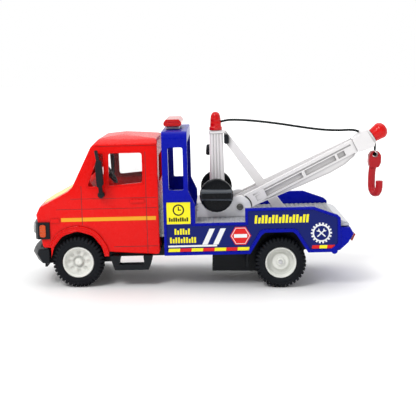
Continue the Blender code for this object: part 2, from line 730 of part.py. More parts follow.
def front_lamps():
    """Headlamps and indicators stand on the bezel's face."""
    for label, side in (("left", -1), ("right", 1)):
        lens = [(0, 0.6), (1.8, 0.5), (3.1, 0.1), (3.1, -0.5), (0, -0.5)]
        turned(f"headlamp_{label}", lens, "clear_lens", (-91.45, side * 16.5, 31.1), (-1, 0, 0), DATUM, steps=20)
        faces = sorted((side * 29.3, side * 29.9))
        outline = fillet(rectangle(-86.6, 28.0, -83.6, 34.2), 0.9, 2)
        plate(f"indicator_{label}", outline, *faces, "Y", "orange_lens", parent=DATUM)


# ---- rear body ----
def wall_outline():
    """One side of the rear body with its hoop leg, counter-clockwise from the lower front corner."""
    return [
        (BED_FRONT, BED_SILL), (19.2, BED_SILL), (25.0, 26.6), (26.8, 28.0), (40.8, 28.0), (42.6, 26.6),
        (48.4, BED_SILL), (60.5, BED_SILL), (64.8, 20.4), (64.8, 34.6), (63.2, 36.2), (51.5, 40.5), (17.0, 40.5),
        (17.0, DECK_TOP), (-8.0, DECK_TOP), (-8.0, 43.0), (HOOP_REAR, 50.0), (HOOP_REAR, 76.0), (BED_FRONT, 76.0),
    ]


def label_outline():
    """The sunk panel inside a wall's raised lip."""
    return fillet([
        (-22.6, 18.7), (18.3, 18.7), (24.4, 28.6), (26.0, 29.6), (41.6, 29.6), (43.2, 28.6), (49.3, 18.7),
        (59.6, 18.7), (63.4, 21.6), (63.4, 34.2), (62.7, 35.1), (51.2, 39.2), (18.3, 39.2), (18.3, 32.2),
        (-9.6, 32.2), (-9.6, 44.6), (-22.6, 44.6),
    ], 0.5, 1)


def bed_body():
    w = BED_HALF_WIDTH
    shoulder = 4.0
    shoulders = [(w, 30.0)] + arc((w - shoulder, HOOP_TOP - shoulder), shoulder, 0, 90, 4)
    shoulders += arc((-w + shoulder, HOOP_TOP - shoulder), shoulder, 90, 180, 4) + [(-w, 30.0)]
    inside = [(-w + 2.2, 30.0)] + arc((-w + 5.2, 71.2), 3.0, 180, 90, 3)
    inside += arc((w - 5.2, 71.2), 3.0, 90, 0, 3) + [(w - 2.2, 30.0)]
    hoop = plate("bed_body", shoulders + inside, BED_FRONT, HOOP_REAR, "X", "blue_plastic", parent=DATUM)
    joined = []
    for side in (-1, 1):
        faces = sorted((side * (w - BED_WALL), side * w))
        joined.append(plate(f"wall {side}", wall_outline(), *faces, "Y", parent=DATUM))
        faces = sorted((side * (w - BED_WALL - 1.5), side * (w - BED_WALL + 0.5)))
        joined.append(block(f"ledge {side}", (-23, faces[0], 30.2), (61.6, faces[1], 31.6), parent=DATUM))
        joined.append(rod(f"tail boss {side}", (61.6, side * 27.0, 17.9), (61.6, side * 31.0, 17.9), 1.6,
                          parent=DATUM, sides=16))
    foot = TRAY_HIGH + GAP
    joined.append(block("bulkhead", (BED_FRONT, -w + 0.5, foot), (BED_FRONT + 1.8, w - 0.5, 44.0), parent=DATUM))
    tail = [(60.0, BED_SILL), (64.5, 18.3), (68.6, 22.0), (71.2, 26.7), (69.6, 29.7), (63.6, 29.7), (63.6, 27.9),
            (68.4, 27.9), (69.2, 26.6), (67.2, 23.2), (63.8, 20.2), (60.0, 19.1)]
    joined.append(plate("tail", tail, -w + 0.4, w - 0.4, "Y", parent=DATUM))
    for side in (-1, 1):
        faces = sorted((side * (w - 2.2), side * (w - 0.3)))
        joined.append(plate(f"tail end {side}", tail[:5] + [(60.0, 29.6)], *faces, "Y", parent=DATUM))
    fuse(hoop, *joined)
    window = fillet([(-20.9, 50.4), (-13.5, 50.4), (-13.5, 71.8), (-20.9, 71.8)], 0.9, 2)
    removed = [plate("leg windows", window, -40, 40, "Y", parent=DATUM)]
    for side in (-1, 1):
        faces = sorted((side * (w - LABEL_RECESS), side * (w + 1)))
        removed.append(plate(f"label recess {side}", label_outline(), *faces, "Y", parent=DATUM))
    cut(hoop, *removed)


def deck_plate():
    half = BED_HALF_WIDTH - BED_WALL - GAP
    low = DECK_TOP - DECK_THICKNESS
    front = BED_FRONT + 1.8 + GAP
    deck = block("deck_plate", (front, -half, low), (64.6, half, DECK_TOP), "silver_plastic", parent=DATUM)
    step = fillet([(62.0, 30.0), (69.4, 30.0), (69.6, 31.0), (68.2, 32.2), (65.4, 33.2), (62.0, 33.2)], 0.4, 1)
    rear = plate("rear step", step, -28.4, 28.4, "Y", parent=DATUM)
    fuse(deck, rear)
    hoop_side = BED_HALF_WIDTH - 2.2 - GAP
    for side in (-1, 1):
        faces = sorted((side * hoop_side, side * 30))
        notch = block(f"hoop notch {side}", (-30, faces[0], 30), (HOOP_REAR + GAP, faces[1], 36), parent=DATUM)
        cut(deck, notch)


def light_bar():
    base = fillet(rectangle(-22.4, -14.6, -15.2, 14.6), 1.5, 2)
    plate("light_bar_base", base, HOOP_TOP + GAP, 81.1, "Z", "white_plastic", parent=DATUM)
    body = fillet([(-23.2, 81.4), (-14.4, 81.4), (-14.2, 83.2), (-15.4, 84.9), (-22.2, 84.9), (-23.4, 83.2)], 0.9, 2)
    lens = plate("light_bar_lens", body, -16.2, 16.2, "Y", "red_lens", parent=DATUM)
    soften(lens, 0.9, 2, 50)


def tail_lamps():
    for label, side in (("left", -1), ("right", 1)):
        faces = sorted((side * 20.5, side * 27.0))
        outline = [(70.2, 22.4), (70.9, 22.0), (72.6, 25.4), (71.9, 25.8)]
        plate(f"tail_lamp_{label}", [(x + 0.15, z) for x, z in outline], *faces, "Y", "red_lens", parent=DATUM)


# ---- crane ----
def crane_base():
    """A plate on the deck, a ridged front block, and two cheeks that hold the boom's pivot screws."""
    floor = DECK_TOP + GAP
    base = block("crane_base", (-7.5, -CHEEK_OUTER, floor), (20.0, CHEEK_OUTER, 35.8), "silver_plastic", parent=DATUM)
    px, pz = to_body(*PIVOT)
    cheek = [(-7.5, floor), (20.0, floor)] + arc((px, pz), CHEEK_RADIUS, -36, 112, 12) + [(9.6, 42.2), (-7.5, 41.5)]
    joined, removed = [], []
    for side in (-1, 1):
        faces = sorted((side * CHEEK_INNER, side * CHEEK_OUTER))
        joined.append(plate(f"cheek {side}", cheek, *faces, "Y", parent=DATUM))
    joined.append(block("front block", (-7.5, -CHEEK_OUTER, floor), (-2.4, CHEEK_OUTER, 41.5), parent=DATUM))
    removed.append(block("boom well", (7.5, -CHEEK_INNER, 30), (24, CHEEK_INNER, 45), parent=DATUM))
    for z in (37.6, 39.2, 40.6):
        removed.append(block(f"groove {z}", (-8.5, -20, z - 0.3), (-6.8, 20, z + 0.3), parent=DATUM))
    removed.append(rod("pivot hole", (px, -20, pz), (px, 20, pz), 1.38, parent=DATUM, sides=16))
    fuse(base, *joined)
    cut(base, *removed)


def pivot_screws():
    px, pz = to_body(*PIVOT)
    for label, side in (("left", -1), ("right", 1)):
        head = [(0, 0.9), (1.5, 0.9), (1.75, 0.6), (1.75, 0), (1.3, 0), (1.3, -6.0), (0, -6.0)]
        place = (px, side * (CHEEK_OUTER + GAP), pz)
        screw = turned(f"pivot_screw_{label}", head, "black_plastic", place, (0, side, 0), DATUM, steps=12)
        faces = sorted((side * (CHEEK_OUTER + 0.9), side * (CHEEK_OUTER + 3)))
        slot = block(f"screw slot {label}", (px - 3, faces[0], pz - 0.25), (px + 3, faces[1], pz + 0.25), parent=DATUM)
        cut(screw, slot)


def mast():
    """A hollow fluted column that tapers upwards, with the winch shaft's hole near its foot."""
    long_half, wide_half = MAST_LENGTH / 2, MAST_WIDTH / 2
    flute = 0.45
    near = [(MAST_X - long_half, -wide_half + 1.0), (MAST_X - long_half + 1.0, -wide_half)]
    for x in (-1.7, 0.0, 1.7):
        near += [(MAST_X + x - 0.5, -wide_half), (MAST_X + x, -wide_half + flute), (MAST_X + x + 0.5, -wide_half)]
    near += [(MAST_X + long_half - 1.0, -wide_half), (MAST_X + long_half, -wide_half + 1.0)]
    outer = near + [(x, -y) for x, y in reversed(near)]
    wall = 1.35
    inner = rectangle(MAST_X - long_half + wall, -wide_half + wall, MAST_X + long_half - wall, wide_half - wall)
    column = plate("mast", [outer, inner], MAST_FOOT, MAST_TOP, "Z", "white_plastic", parent=DATUM)

    def rule(place):
        x, y, z = place
        share = (z - MAST_FOOT) / (MAST_TOP - MAST_FOOT)
        scale = 1 + (MAST_TAPER - 1) * share
        return MAST_X + (x - MAST_X) * scale, y * scale, z

    reshape(column, rule)
    shaft = (WINCH_X, -20, WINCH_Z), (WINCH_X, 20, WINCH_Z)
    cut(column, rod("winch hole", *shaft, 1.28, parent=DATUM, sides=14), solver="MANIFOLD")


def mast_cap():
    profile = [(0, 9.6), (1.0, 9.45), (1.9, 8.8), (2.45, 7.6), (2.7, 6.0), (3.0, 1.8), (3.4, 1.6), (3.4, 0), (0, 0)]
    turned("mast_cap", profile, "red_lens", (MAST_X - 0.15, 0, MAST_TOP + 1.4 + GAP), (0, 0, 1), DATUM, steps=20)


def mast_brace():
    """A strut from the collar on the mast's top down to the deck."""
    low = MAST_TOP + GAP - 0.1
    collar = plate("mast_brace", fillet(rectangle(-0.4, -5.0, 8.4, 5.0), 0.8, 1), low, MAST_TOP + 1.3, "Z",
                   "white_plastic", parent=DATUM)
    foot = DECK_TOP + GAP
    strut = [(7.5, 77.4), (8.6, 77.4), (41.2, foot), (34.6, foot), (33.4, foot + 1.5), (8.9, 70.2), (7.5, 72.6)]
    fuse(collar, plate("strut", strut, -2.4, 2.4, "Y", parent=DATUM))


def mast_fittings():
    """A black rope guide on the mast's rear face, and a lamp on its far front corner."""
    plate("rope_guide", fillet(rectangle(7.5, 70.8, 10.0, 75.6), 0.5, 1), -4.4, -2.7, "Y", "black_plastic",
          parent=DATUM)
    lamp = [(0, 2.0), (2.2, 2.0), (2.9, 1.5), (3.0, 0.5), (1.8, -1.6), (0, -2.1)]
    turned("work_lamp", lamp, "black_plastic", (-0.2, 8.4, 66.8), (-1, 0, 0.1), DATUM, steps=16)


def winch():
    """A shaft through the mast, the winding on it, and a knob with a grip bar on each end."""
    place = (WINCH_X, 0, WINCH_Z)
    rod("winch_shaft", (WINCH_X, -20.2, WINCH_Z), (WINCH_X, 20.2, WINCH_Z), 1.2, "steel", place, DATUM, sides=16)
    winding = [(1.22, 3.0), (1.9, 3.0), (1.9, -3.0), (1.22, -3.0)]
    turned("rope_winding", winding, "black_cord", place, (0, 1, 0), DATUM, steps=16, ring=True)
    for label, side in (("left", -1), ("right", 1)):
        face = Vector((WINCH_X, side * 21.5, WINCH_Z))
        disc = [(0, 0), (7.3, 0), (8.3, -0.5), (KNOB_RADIUS, -1.2), (KNOB_RADIUS, -3.8), (2.6, -3.8),
                (2.6, -5.6), (1.22, -5.6), (1.22, -1.0), (0, -1.0)]
        knob = turned(f"winch_knob_{label}", disc, "black_plastic", face, (0, side, 0), DATUM, steps=24)
        faces = sorted((side * 21.2, side * 24.4))
        grip = block(f"grip bar {label}", (WINCH_X - 7.6, faces[0], WINCH_Z - 1.0),
                     (WINCH_X + 7.6, faces[1], WINCH_Z + 1.6), parent=DATUM)
        fuse(knob, grip)


def boom_beams():
    """Two fish-bellied beams in the boom's own frame: X along the boom from its pivot, Z across it."""
    foot = arc((0, 0), CHEEK_RADIUS + 0.6, -28, 44, 5)
    outline = foot[::-1] + [(8.6, -3.0), (21.0, -4.0), (33.0, -5.0), (50.0, -6.1), (59.0, -5.7), (65.6, -4.0),
                            (BEAM_END, -3.0), (BEAM_END, 4.3), (7.6, 4.3)]
    windows = ((9.3, 13.4), (14.9, 36.4), (38.2, 56.0), (57.4, 61.6))
    for label, side in (("left", -1), ("right", 1)):
        yawed = new_empty(f"beam_{label}_line", (0, side * BEAM_START, 0), parent=BOOM)
        yawed.rotation_euler = (0, 0, -side * BEAM_YAW)
        half = BEAM_THICKNESS / 2
        beam = plate(f"boom_beam_{label}", outline, -half, half, "Y", "white_plastic", parent=yawed)
        removed = []
        for i, (a, b) in enumerate(windows):
            opening = rectangle(a, -1.6, b, 1.3)
            faces = sorted((side * 0.2, side * 3))
            removed.append(plate(f"beam window {label} {i}", opening, *faces, "Y", parent=yawed))
        outer_faces = sorted((side * (half - 0.5), side * 3))
        upper = [(8.6, 1.9), (66.0, 1.9), (66.0, 2.7), (8.6, 2.7)]
        removed.append(plate(f"upper web {label}", upper, *outer_faces, "Y", parent=yawed))
        lower = [(11.0, -2.6), (66.5, -2.6), (65.0, -3.9), (58.8, -5.4), (50.0, -5.8), (33.0, -4.7), (21.0, -3.7)]
        removed.append(plate(f"belly web {label}", lower, *outer_faces, "Y", parent=yawed))
        faces = sorted((side * 8.0, side * 10.8))
        lug = arc((0, 0), 3.5, 70, 290, 8) + [(16.0, -2.6), (16.0, 3.4)]
        lug_plate = plate(f"lug {label}", lug, *faces, "Y", parent=BOOM)
        faces = sorted((side * 9.4, side * 12.4))
        spacer = plate(f"lug spacer {label}", rectangle(7.4, -2.2, 15.0, 3.0), *faces, "Y", parent=BOOM)
        hole = rod(f"lug hole {label}", (0, side * 6, 0), (0, side * 16, 0), 1.38, parent=BOOM, sides=16)
        cut(beam, *removed)
        fuse(beam, lug_plate, spacer)
        cut(beam, hole)


def boom_head():
    start = BEAM_END - 0.25
    outline = fillet([(start, -3.1), (start + 5.4, -4.0), (76.6, -4.0), (HEAD_END, -3.0), (76.2, 5.7), (74.6, 6.0),
                      (start + 1.5, 4.4), (start, 4.4)], 0.6, 2)
    head = plate("boom_head", outline, -5.6, 5.6, "Y", "white_plastic", parent=BOOM)
    soften(head, 0.5, 1, 40)
    tilt = math.radians(8)
    direction = Vector((math.cos(tilt), 0, math.sin(tilt)))
    collar_end = Vector((78.33, 0, 0.7))
    collar = rod("head collar", collar_end - direction * 5.0, collar_end, 4.3, parent=BOOM, sides=24)
    slot = block("line slot", (75.6, -0.9, -6), (84, 0.9, -1.6), parent=BOOM)
    fuse(head, collar)
    cut(head, slot)
    profile = [(0, 8.2), (1.6, 8.0), (3.2, 7.2), (4.2, 5.6), (4.3, 4.6), (3.5, 0), (0, 0)]
    turned("boom_cap", profile, "red_lens", collar_end + direction * GAP, direction, BOOM, steps=24)


def rope_points():
    """The rope in the level frame, from the mast cap to the boom's head, where it sags under its own weight."""
    return [
        (5.4, 0, 82.6), (8.6, 0, 83.2), (14.0, 0, 83.3), (21.0, 0, 82.9), (29.0, 0, 82.1), (37.0, 0, 81.1),
        (45.0, 0, 79.9), (53.0, 0, 78.8), (60.0, 0, 78.1), (67.0, 0, 77.9), (72.0, 0, 78.1), (75.2, 0, 77.9),
        (77.2, 0, 77.4),
    ]


def rope_and_hook():
    tube("tow_rope", smooth_route(rope_points(), 4.0), ROPE_RADIUS, "black_cord")
    top, low = (LINE_X, 0, LINE_TOP), (LINE_X, 0, HOOK_TOP + GAP)
    rod("hook_line", low, top, ROPE_RADIUS, "black_cord", top, sides=12)
    knot = (LINE_X, 0, HOOK_TOP - 1.7)
    turned("hook_knot", [(0, 1.2), (0.85, 0.85), (1.2, 0), (0.85, -0.85), (0, -1.2)], "black_cord", knot, steps=12)

    centre = Vector((LINE_X - 1.4, 0, HOOK_BOTTOM + HOOK_BAR + HOOK_BEND))
    across = Vector((math.cos(HOOK_TURN), math.sin(HOOK_TURN), 0))
    bend = centre + across * HOOK_BEND
    route = [centre + Vector((0.9, 0, 16.0)), centre + Vector((0.4, 0, 10.0)), centre + Vector((0, 0, 5.0)), centre]
    for i in range(1, 7):
        angle = math.pi * (1 + i / 6)
        route.append(bend + across * (HOOK_BEND * math.cos(angle)) + Vector((0, 0, HOOK_BEND * math.sin(angle))))
    route.append(route[-1] + Vector((0, 0, 3.2)))
    hook = tube("hook", route, HOOK_BAR, "hook_red", origin=knot)
    eye_outline = fillet([(-2.8, -8.6), (2.0, -8.6), (3.2, -6.0), (3.2, -2.2), (1.8, 0), (-1.8, 0),
                          (-3.2, -2.2), (-3.3, -6.0)], 1.2, 2)
    eye = plate("hook eye", [(x + LINE_X - 0.1, z + HOOK_TOP) for x, z in eye_outline], -2.8, 2.8, "Y")
    pocket = rod("knot pocket", (LINE_X, -5, knot[2]), (LINE_X, 5, knot[2]), 1.5, sides=16)
    line_hole = rod("line hole", (LINE_X, 0, knot[2]), (LINE_X, 0, HOOK_TOP + 2), 0.9, sides=12)
    fuse(hook, soften(eye, 0.8, 1, 50))
    cut(hook, pocket, line_hole)


def main():
    chassis_frame()
    rims_and_tyres()
    motor()
    chassis_screw()
    cab_shell()
    glazing()
    cab_interior()
    cab_front()
    front_bumper()
    side_steps()
    mirrors()
    front_lamps()
    bed_body()
    deck_plate()
    light_bar()
    tail_lamps()
    crane_base()
    pivot_screws()
    mast()
    mast_cap()
    mast_brace()
    mast_fittings()
    winch()
    boom_beams()
    boom_head()
    rope_and_hook()


clear_scene()
PARTS = new_collection("toy_tow_truck")
CUTTERS = new_collection("cutters")
DATUM = new_empty(
    "body_datum",
    (RAKE_HEIGHT * math.sin(RAKE), 0, RAKE_HEIGHT * (1 - math.cos(RAKE))),
    -RAKE,
)
BOOM = new_empty("boom_datum", (PIVOT[0], 0, PIVOT[1]), -BOOM_ANGLE)
main()
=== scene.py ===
"""Looks of the toy tow truck: materials, tyres, rims, labels, cord and small trim round the CAD frame.

Detail pieces are laid out in millimetres, in the world or in the truck body's own frame, whose nose leans
down by RAKE, and are then set into the world in metres.
"""

import math

import bmesh
import bpy
from mathutils import Matrix, Vector
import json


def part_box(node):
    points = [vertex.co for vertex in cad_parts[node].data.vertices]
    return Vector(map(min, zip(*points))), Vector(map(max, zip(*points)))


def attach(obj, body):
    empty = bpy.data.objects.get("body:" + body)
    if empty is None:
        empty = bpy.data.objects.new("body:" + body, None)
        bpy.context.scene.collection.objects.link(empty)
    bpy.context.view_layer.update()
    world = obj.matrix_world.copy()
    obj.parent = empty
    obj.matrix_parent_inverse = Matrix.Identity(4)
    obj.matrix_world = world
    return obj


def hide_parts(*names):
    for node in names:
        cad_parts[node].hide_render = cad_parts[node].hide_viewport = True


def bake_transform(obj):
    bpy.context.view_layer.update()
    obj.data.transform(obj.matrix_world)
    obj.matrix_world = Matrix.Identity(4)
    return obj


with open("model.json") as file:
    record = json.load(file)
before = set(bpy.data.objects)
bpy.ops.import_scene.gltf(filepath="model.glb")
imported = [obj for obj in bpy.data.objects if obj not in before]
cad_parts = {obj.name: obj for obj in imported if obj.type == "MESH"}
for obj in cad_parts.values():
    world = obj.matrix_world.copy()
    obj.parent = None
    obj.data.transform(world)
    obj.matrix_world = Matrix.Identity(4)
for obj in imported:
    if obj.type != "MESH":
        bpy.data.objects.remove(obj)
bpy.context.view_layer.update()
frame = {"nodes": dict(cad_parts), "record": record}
nodes = frame["nodes"]

MM = 0.001

# ---- the part's own driving dimensions, in millimetres and degrees ----
RAKE = math.radians(1.43)
RAKE_HEIGHT = 34.0
LABEL_FACE = 30.5             # distance of the sunk label face from the middle plane
CAB_HALF_WIDTH = 28.0
CAB_WAIST = 47.0
CAB_GUTTER = 73.6
GUTTER_HALF_WIDTH = 25.4
DECK_TOP = 33.4
TYRE_RADIUS = 12.9
WHEEL_OUTER = 30.0            # outer face of a wheel, from the middle plane
FRONT_AXLE_X = -67.4
RIM_RADIUS = 8.6
ROPE_RADIUS = 0.575

BODY = (
    Matrix.Translation((RAKE_HEIGHT * math.sin(RAKE), 0, RAKE_HEIGHT * (1 - math.cos(RAKE))))
    @ Matrix.Rotation(-RAKE, 4, "Y")
)
LEVEL = Matrix.Identity(4)
SIDES = (("left", -1), ("right", 1))

# ---- sizes of the detail pieces, in millimetres and degrees ----
MOULD_RADIUS = 0.18
CAB_MOULD_RADIUS = 0.12
BEVEL_FROM_ANGLE = 32         # edges sharper than this are rounded
CASTING_VOXEL = 0.25
INK_LAYER = 0.05              # each print layer stands this much further out
LUG_DEPTH = 0.95
LUG_SHARE = 0.58              # share of a lug's pitch that stands proud
TYRE_MIDDLE = 4.7             # lugs further in than this are staggered
SHORT_STROKE = 0.72           # height of a short bar, as a share of a tall one
DECK_RIB_HEIGHT = 0.4
DECK_RIB_LEAN = 0.62
LAMP_RING = (-90.65, 16.5, 31.1, 3.45, 0.3)   # x, distance to the side, z, ring radius, wire radius


# ---- materials ----
def srgb(red, green, blue):
    """A colour given as 0 to 255 sRGB, as linear values."""
    def linear(value):
        value /= 255
        return value / 12.92 if value <= 0.04045 else ((value + 0.055) / 1.055) ** 2.4
    return linear(red), linear(green), linear(blue), 1.0


def new_material(name):
    material = bpy.data.materials.new(name)
    material.use_nodes = True
    tree = material.node_tree
    return material, tree, tree.nodes["Principled BSDF"]


def node(tree, kind, **inputs):
    made = tree.nodes.new(kind)
    for key, value in inputs.items():
        made.inputs[key].default_value = value
    return made


def shade_range(tree, source, low, high):
    """Maps a 0 to 1 value to the range low to high."""
    ramp = node(tree, "ShaderNodeMapRange")
    ramp.inputs["To Min"].default_value = low
    ramp.inputs["To Max"].default_value = high
    tree.links.new(source, ramp.inputs["Value"])
    return ramp.outputs["Result"]


def plastic(name, colour, roughness=0.3, grain=0.05, tint=0.06, coat=0.0, scale=900.0, metallic=0.0,
            transmission=0.0, alpha=1.0, scuff=0.1, specular=0.5, painted_crevice_shade=0.0, reach=1.6):
    """Moulded plastic: cloudy pigment, a fine mould grain, faint handling scuffs in the gloss, and, where asked
    for, painted shade that darkens its colour in recesses.
    """
    material, tree, shader = new_material(name)
    place = tree.nodes.new("ShaderNodeTexCoord").outputs["Object"]
    cloud = node(tree, "ShaderNodeTexNoise", Scale=70.0, Detail=4.0, Roughness=0.6)
    tree.links.new(place, cloud.inputs["Vector"])
    mix = tree.nodes.new("ShaderNodeMix")
    mix.data_type = "RGBA"
    darker = [channel * (1 - 2 * tint) for channel in colour[:3]] + [1.0]
    lighter = [min(1.0, channel * (1 + tint) + tint * 0.03) for channel in colour[:3]] + [1.0]
    mix.inputs["A"].default_value = darker
    mix.inputs["B"].default_value = lighter
    tree.links.new(cloud.outputs["Fac"], mix.inputs["Factor"])
    # painted shade: an ambient-occlusion lookup darkens the base colour by the given share in recesses and
    # between parts, within the reach
    if painted_crevice_shade:
        painted_shade_ao = node(tree, "ShaderNodeAmbientOcclusion", Distance=reach * MM)
        painted_shade_ao.samples = 8
        shaded = tree.nodes.new("ShaderNodeMix")
        shaded.data_type = "RGBA"
        shaded.inputs["A"].default_value = [channel * (1 - painted_crevice_shade) for channel in colour[:3]] + [1.0]
        tree.links.new(mix.outputs["Result"], shaded.inputs["B"])
        tree.links.new(painted_shade_ao.outputs["AO"], shaded.inputs["Factor"])
        tree.links.new(shaded.outputs["Result"], shader.inputs["Base Color"])
    else:
        tree.links.new(mix.outputs["Result"], shader.inputs["Base Color"])
    scuffs = node(tree, "ShaderNodeTexNoise", Scale=260.0, Detail=6.0, Roughness=0.75)
    tree.links.new(place, scuffs.inputs["Vector"])
    tree.links.new(
        shade_range(tree, scuffs.outputs["Fac"], max(0.02, roughness - scuff), roughness + scuff),
        shader.inputs["Roughness"],
    )
    fine = node(tree, "ShaderNodeTexNoise", Scale=scale, Detail=3.0, Roughness=0.55)
    tree.links.new(place, fine.inputs["Vector"])
    bump = node(tree, "ShaderNodeBump", Strength=grain, Distance=0.0002)
    tree.links.new(fine.outputs["Fac"], bump.inputs["Height"])
    tree.links.new(bump.outputs["Normal"], shader.inputs["Normal"])
    shader.inputs["Metallic"].default_value = metallic
    shader.inputs["Specular IOR Level"].default_value = specular
    shader.inputs["Coat Weight"].default_value = coat
    shader.inputs["Coat Roughness"].default_value = 0.08
    shader.inputs["Transmission Weight"].default_value = transmission
    shader.inputs["Alpha"].default_value = alpha
    return material


def ribbed_lens(name, colour, direction, pitch, transmission=0.25):
    """A clear or coloured lens with optic ribs moulded in."""
    material = plastic(name, colour, 0.16, 0.02, 0.05, coat=0.15, transmission=transmission, scuff=0.04,
                       specular=0.25)
    tree = material.node_tree
    shader = tree.nodes["Principled BSDF"]
    wave = node(tree, "ShaderNodeTexWave", Scale=1 / (pitch * MM) / 6.283)
    wave.wave_type = "BANDS"
    wave.bands_direction = direction
    tree.links.new(tree.nodes["Texture Coordinate"].outputs["Object"], wave.inputs["Vector"])
    ribs = node(tree, "ShaderNodeBump", Strength=0.5, Distance=0.0003)
    tree.links.new(wave.outputs["Fac"], ribs.inputs["Height"])
    tree.links.new(tree.nodes["Bump"].outputs["Normal"], ribs.inputs["Normal"])
    tree.links.new(ribs.outputs["Normal"], shader.inputs["Normal"])
    return material


def printed(name, colour):
    """Label print: a flat ink with a slight speckle and an orange-peel gloss."""
    return plastic(name, colour, 0.34, 0.03, 0.03, coat=0.03, scale=500.0, specular=0.15)


def brushed(name, colour):
    """Drawn steel with fine lines across its length."""
    material = plastic(name, colour, 0.28, 0.02, 0.05, metallic=1.0)
    tree = material.node_tree
    lines = node(tree, "ShaderNodeTexNoise", Scale=1500.0, Detail=2.0)
    stretch = tree.nodes.new("ShaderNodeMapping")
    stretch.inputs["Scale"].default_value = (1.0, 0.05, 1.0)
    tree.links.new(tree.nodes["Texture Coordinate"].outputs["Object"], stretch.inputs["Vector"])
    tree.links.new(stretch.outputs["Vector"], lines.inputs["Vector"])
    tree.links.new(lines.outputs["Fac"], tree.nodes["Bump"].inputs["Height"])
    tree.nodes["Bump"].inputs["Strength"].default_value = 0.3
    return material


# Recess darkening given below is painted shade: the share by which a look's colour is darkened where the
# occlusion lookup finds recesses.
LOOKS = {
    "red": plastic("cab red", srgb(226, 6, 2), 0.27, 0.03, 0.04, coat=0.06, specular=0.15, painted_crevice_shade=0.5),
    "seam": plastic("cab seam shadow", srgb(112, 4, 4), 0.5, 0.03, 0.08),
    "blue": plastic("body blue", srgb(0, 14, 158), 0.28, 0.03, 0.06, coat=0.02, specular=0.08, painted_crevice_shade=0.5),
    "black": plastic("black trim", srgb(20, 24, 29), 0.38, 0.12, 0.12, scale=1400.0, specular=0.15),
    # painted highlight: the knob's black plastic made lighter and glossier for the grip bar, standing in for
    # the light band it catches
    "grip": plastic("knob grip painted highlight", srgb(50, 57, 66), 0.2, 0.05, 0.1, coat=0.3, specular=0.5),
    "screw": plastic("screw head", srgb(104, 104, 100), 0.35, 0.1, 0.1, metallic=0.6, painted_crevice_shade=0.85, reach=0.8),
    "knob": plastic("knob black", srgb(8, 11, 16), 0.28, 0.05, 0.1, specular=0.12),
    "grey": plastic("inner grey", srgb(120, 118, 120), 0.5, 0.15, 0.08, scale=1200.0),
    "red inside": plastic("dashboard red", srgb(244, 20, 14), 0.4, 0.1, 0.08, specular=0.2),
    "silver": plastic("deck silver", srgb(206, 208, 212), 0.34, 0.08, 0.06, metallic=0.1, painted_crevice_shade=0.65),
    "base": plastic("crane base silver", srgb(242, 242, 243), 0.32, 0.06, 0.05, metallic=0.1, painted_crevice_shade=0.5),
    "white": plastic("crane white", srgb(234, 232, 232), 0.32, 0.04, 0.02, coat=0.05, specular=0.25,
                     painted_crevice_shade=0.8, reach=3.0),
    "rim": plastic("rim white", srgb(233, 234, 228), 0.34, 0.04, 0.02, specular=0.2, painted_crevice_shade=0.6, reach=2.4),
    "rubber": plastic("tyre rubber", srgb(16, 19, 25), 0.66, 0.4, 0.2, scale=1600.0, specular=0.12),
    "glazing": plastic("clear glazing", srgb(90, 94, 96), 0.05, 0.01, 0.01, alpha=0.08, scuff=0.03),
    "beacon": ribbed_lens("beacon red", srgb(212, 2, 4), "Z", 1.1, 0.1),
    "tail lens": ribbed_lens("tail lens red", srgb(196, 12, 12), "Y", 1.0),
    "nose": plastic("boom nose red", srgb(212, 8, 8), 0.26, 0.03, 0.05, coat=0.1, specular=0.2),
    "amber": ribbed_lens("indicator amber", srgb(226, 84, 26), "Z", 0.8),
    "headlamp": ribbed_lens("headlamp clear", srgb(224, 226, 222), "Y", 0.9, 0.4),
    "steel": brushed("drawn steel", srgb(200, 200, 202)),
    "cord": plastic("black cord", srgb(16, 24, 24), 0.8, 0.5, 0.25, scale=2600.0, specular=0.15),
    "hook": plastic("hook red", srgb(178, 22, 32), 0.34, 0.06, 0.1, coat=0.05, specular=0.2),
    "navy": printed("label navy", srgb(6, 24, 104)),
    "yellow": printed("label yellow", srgb(248, 236, 40)),
    "label red": printed("label red", srgb(222, 34, 34)),
    "label white": printed("label white", srgb(236, 238, 240)),
    "label ink": printed("label ink", srgb(20, 22, 26)),
    "stripe": printed("cab stripe", srgb(238, 168, 40)),
    "bonnet": printed("bonnet label", srgb(250, 216, 128)),
}

NODE_LOOKS = {
    "cab_shell": "red", "bed_body": "blue", "deck_plate": "silver", "crane_base": "base",
    "dashboard": "red inside", "seat_bench": "red inside", "hook": "hook", "mast_cap": "beacon",
    "boom_cap": "nose", "pivot_screw_left": "screw", "pivot_screw_right": "screw",
    "light_bar_lens": "beacon", "axle_gear": "grey", "spring_gear": "grey",
}
PREFIX_LOOKS = {
    "tail_lamp": "tail lens", "indicator": "amber", "headlamp": "headlamp", "winch_knob": "knob",
    "rim": "rim", "tyre": "rubber",
}
SLOT_LOOKS = {
    "black_plastic": "black", "grey_plastic": "grey", "white_plastic": "white", "clear_glazing": "glazing",
    "steel": "steel", "black_cord": "cord",
}


def look_of(name):
    """The material of a CAD node: by its name, then by how its name starts, then by its plastic."""
    if name in NODE_LOOKS:
        return LOOKS[NODE_LOOKS[name]]
    for prefix, look in PREFIX_LOOKS.items():
        if name.startswith(prefix):
            return LOOKS[look]
    slots = {part["node"]: part["material_slot"] for part in frame["record"]["subparts"]}
    return LOOKS[SLOT_LOOKS[slots[name]]]


def soften(obj, width):
    """Rounds sharp edges as a mould does, and shades the result smoothly."""
    weld = obj.modifiers.new("weld", "WELD")
    weld.merge_threshold = 1e-6
    bevel = obj.modifiers.new("mould radius", "BEVEL")
    bevel.width = width * MM
    bevel.segments = 2
    bevel.limit_method = "ANGLE"
    bevel.angle_limit = math.radians(BEVEL_FROM_ANGLE)
    bevel.harden_normals = True
    smooth(obj)


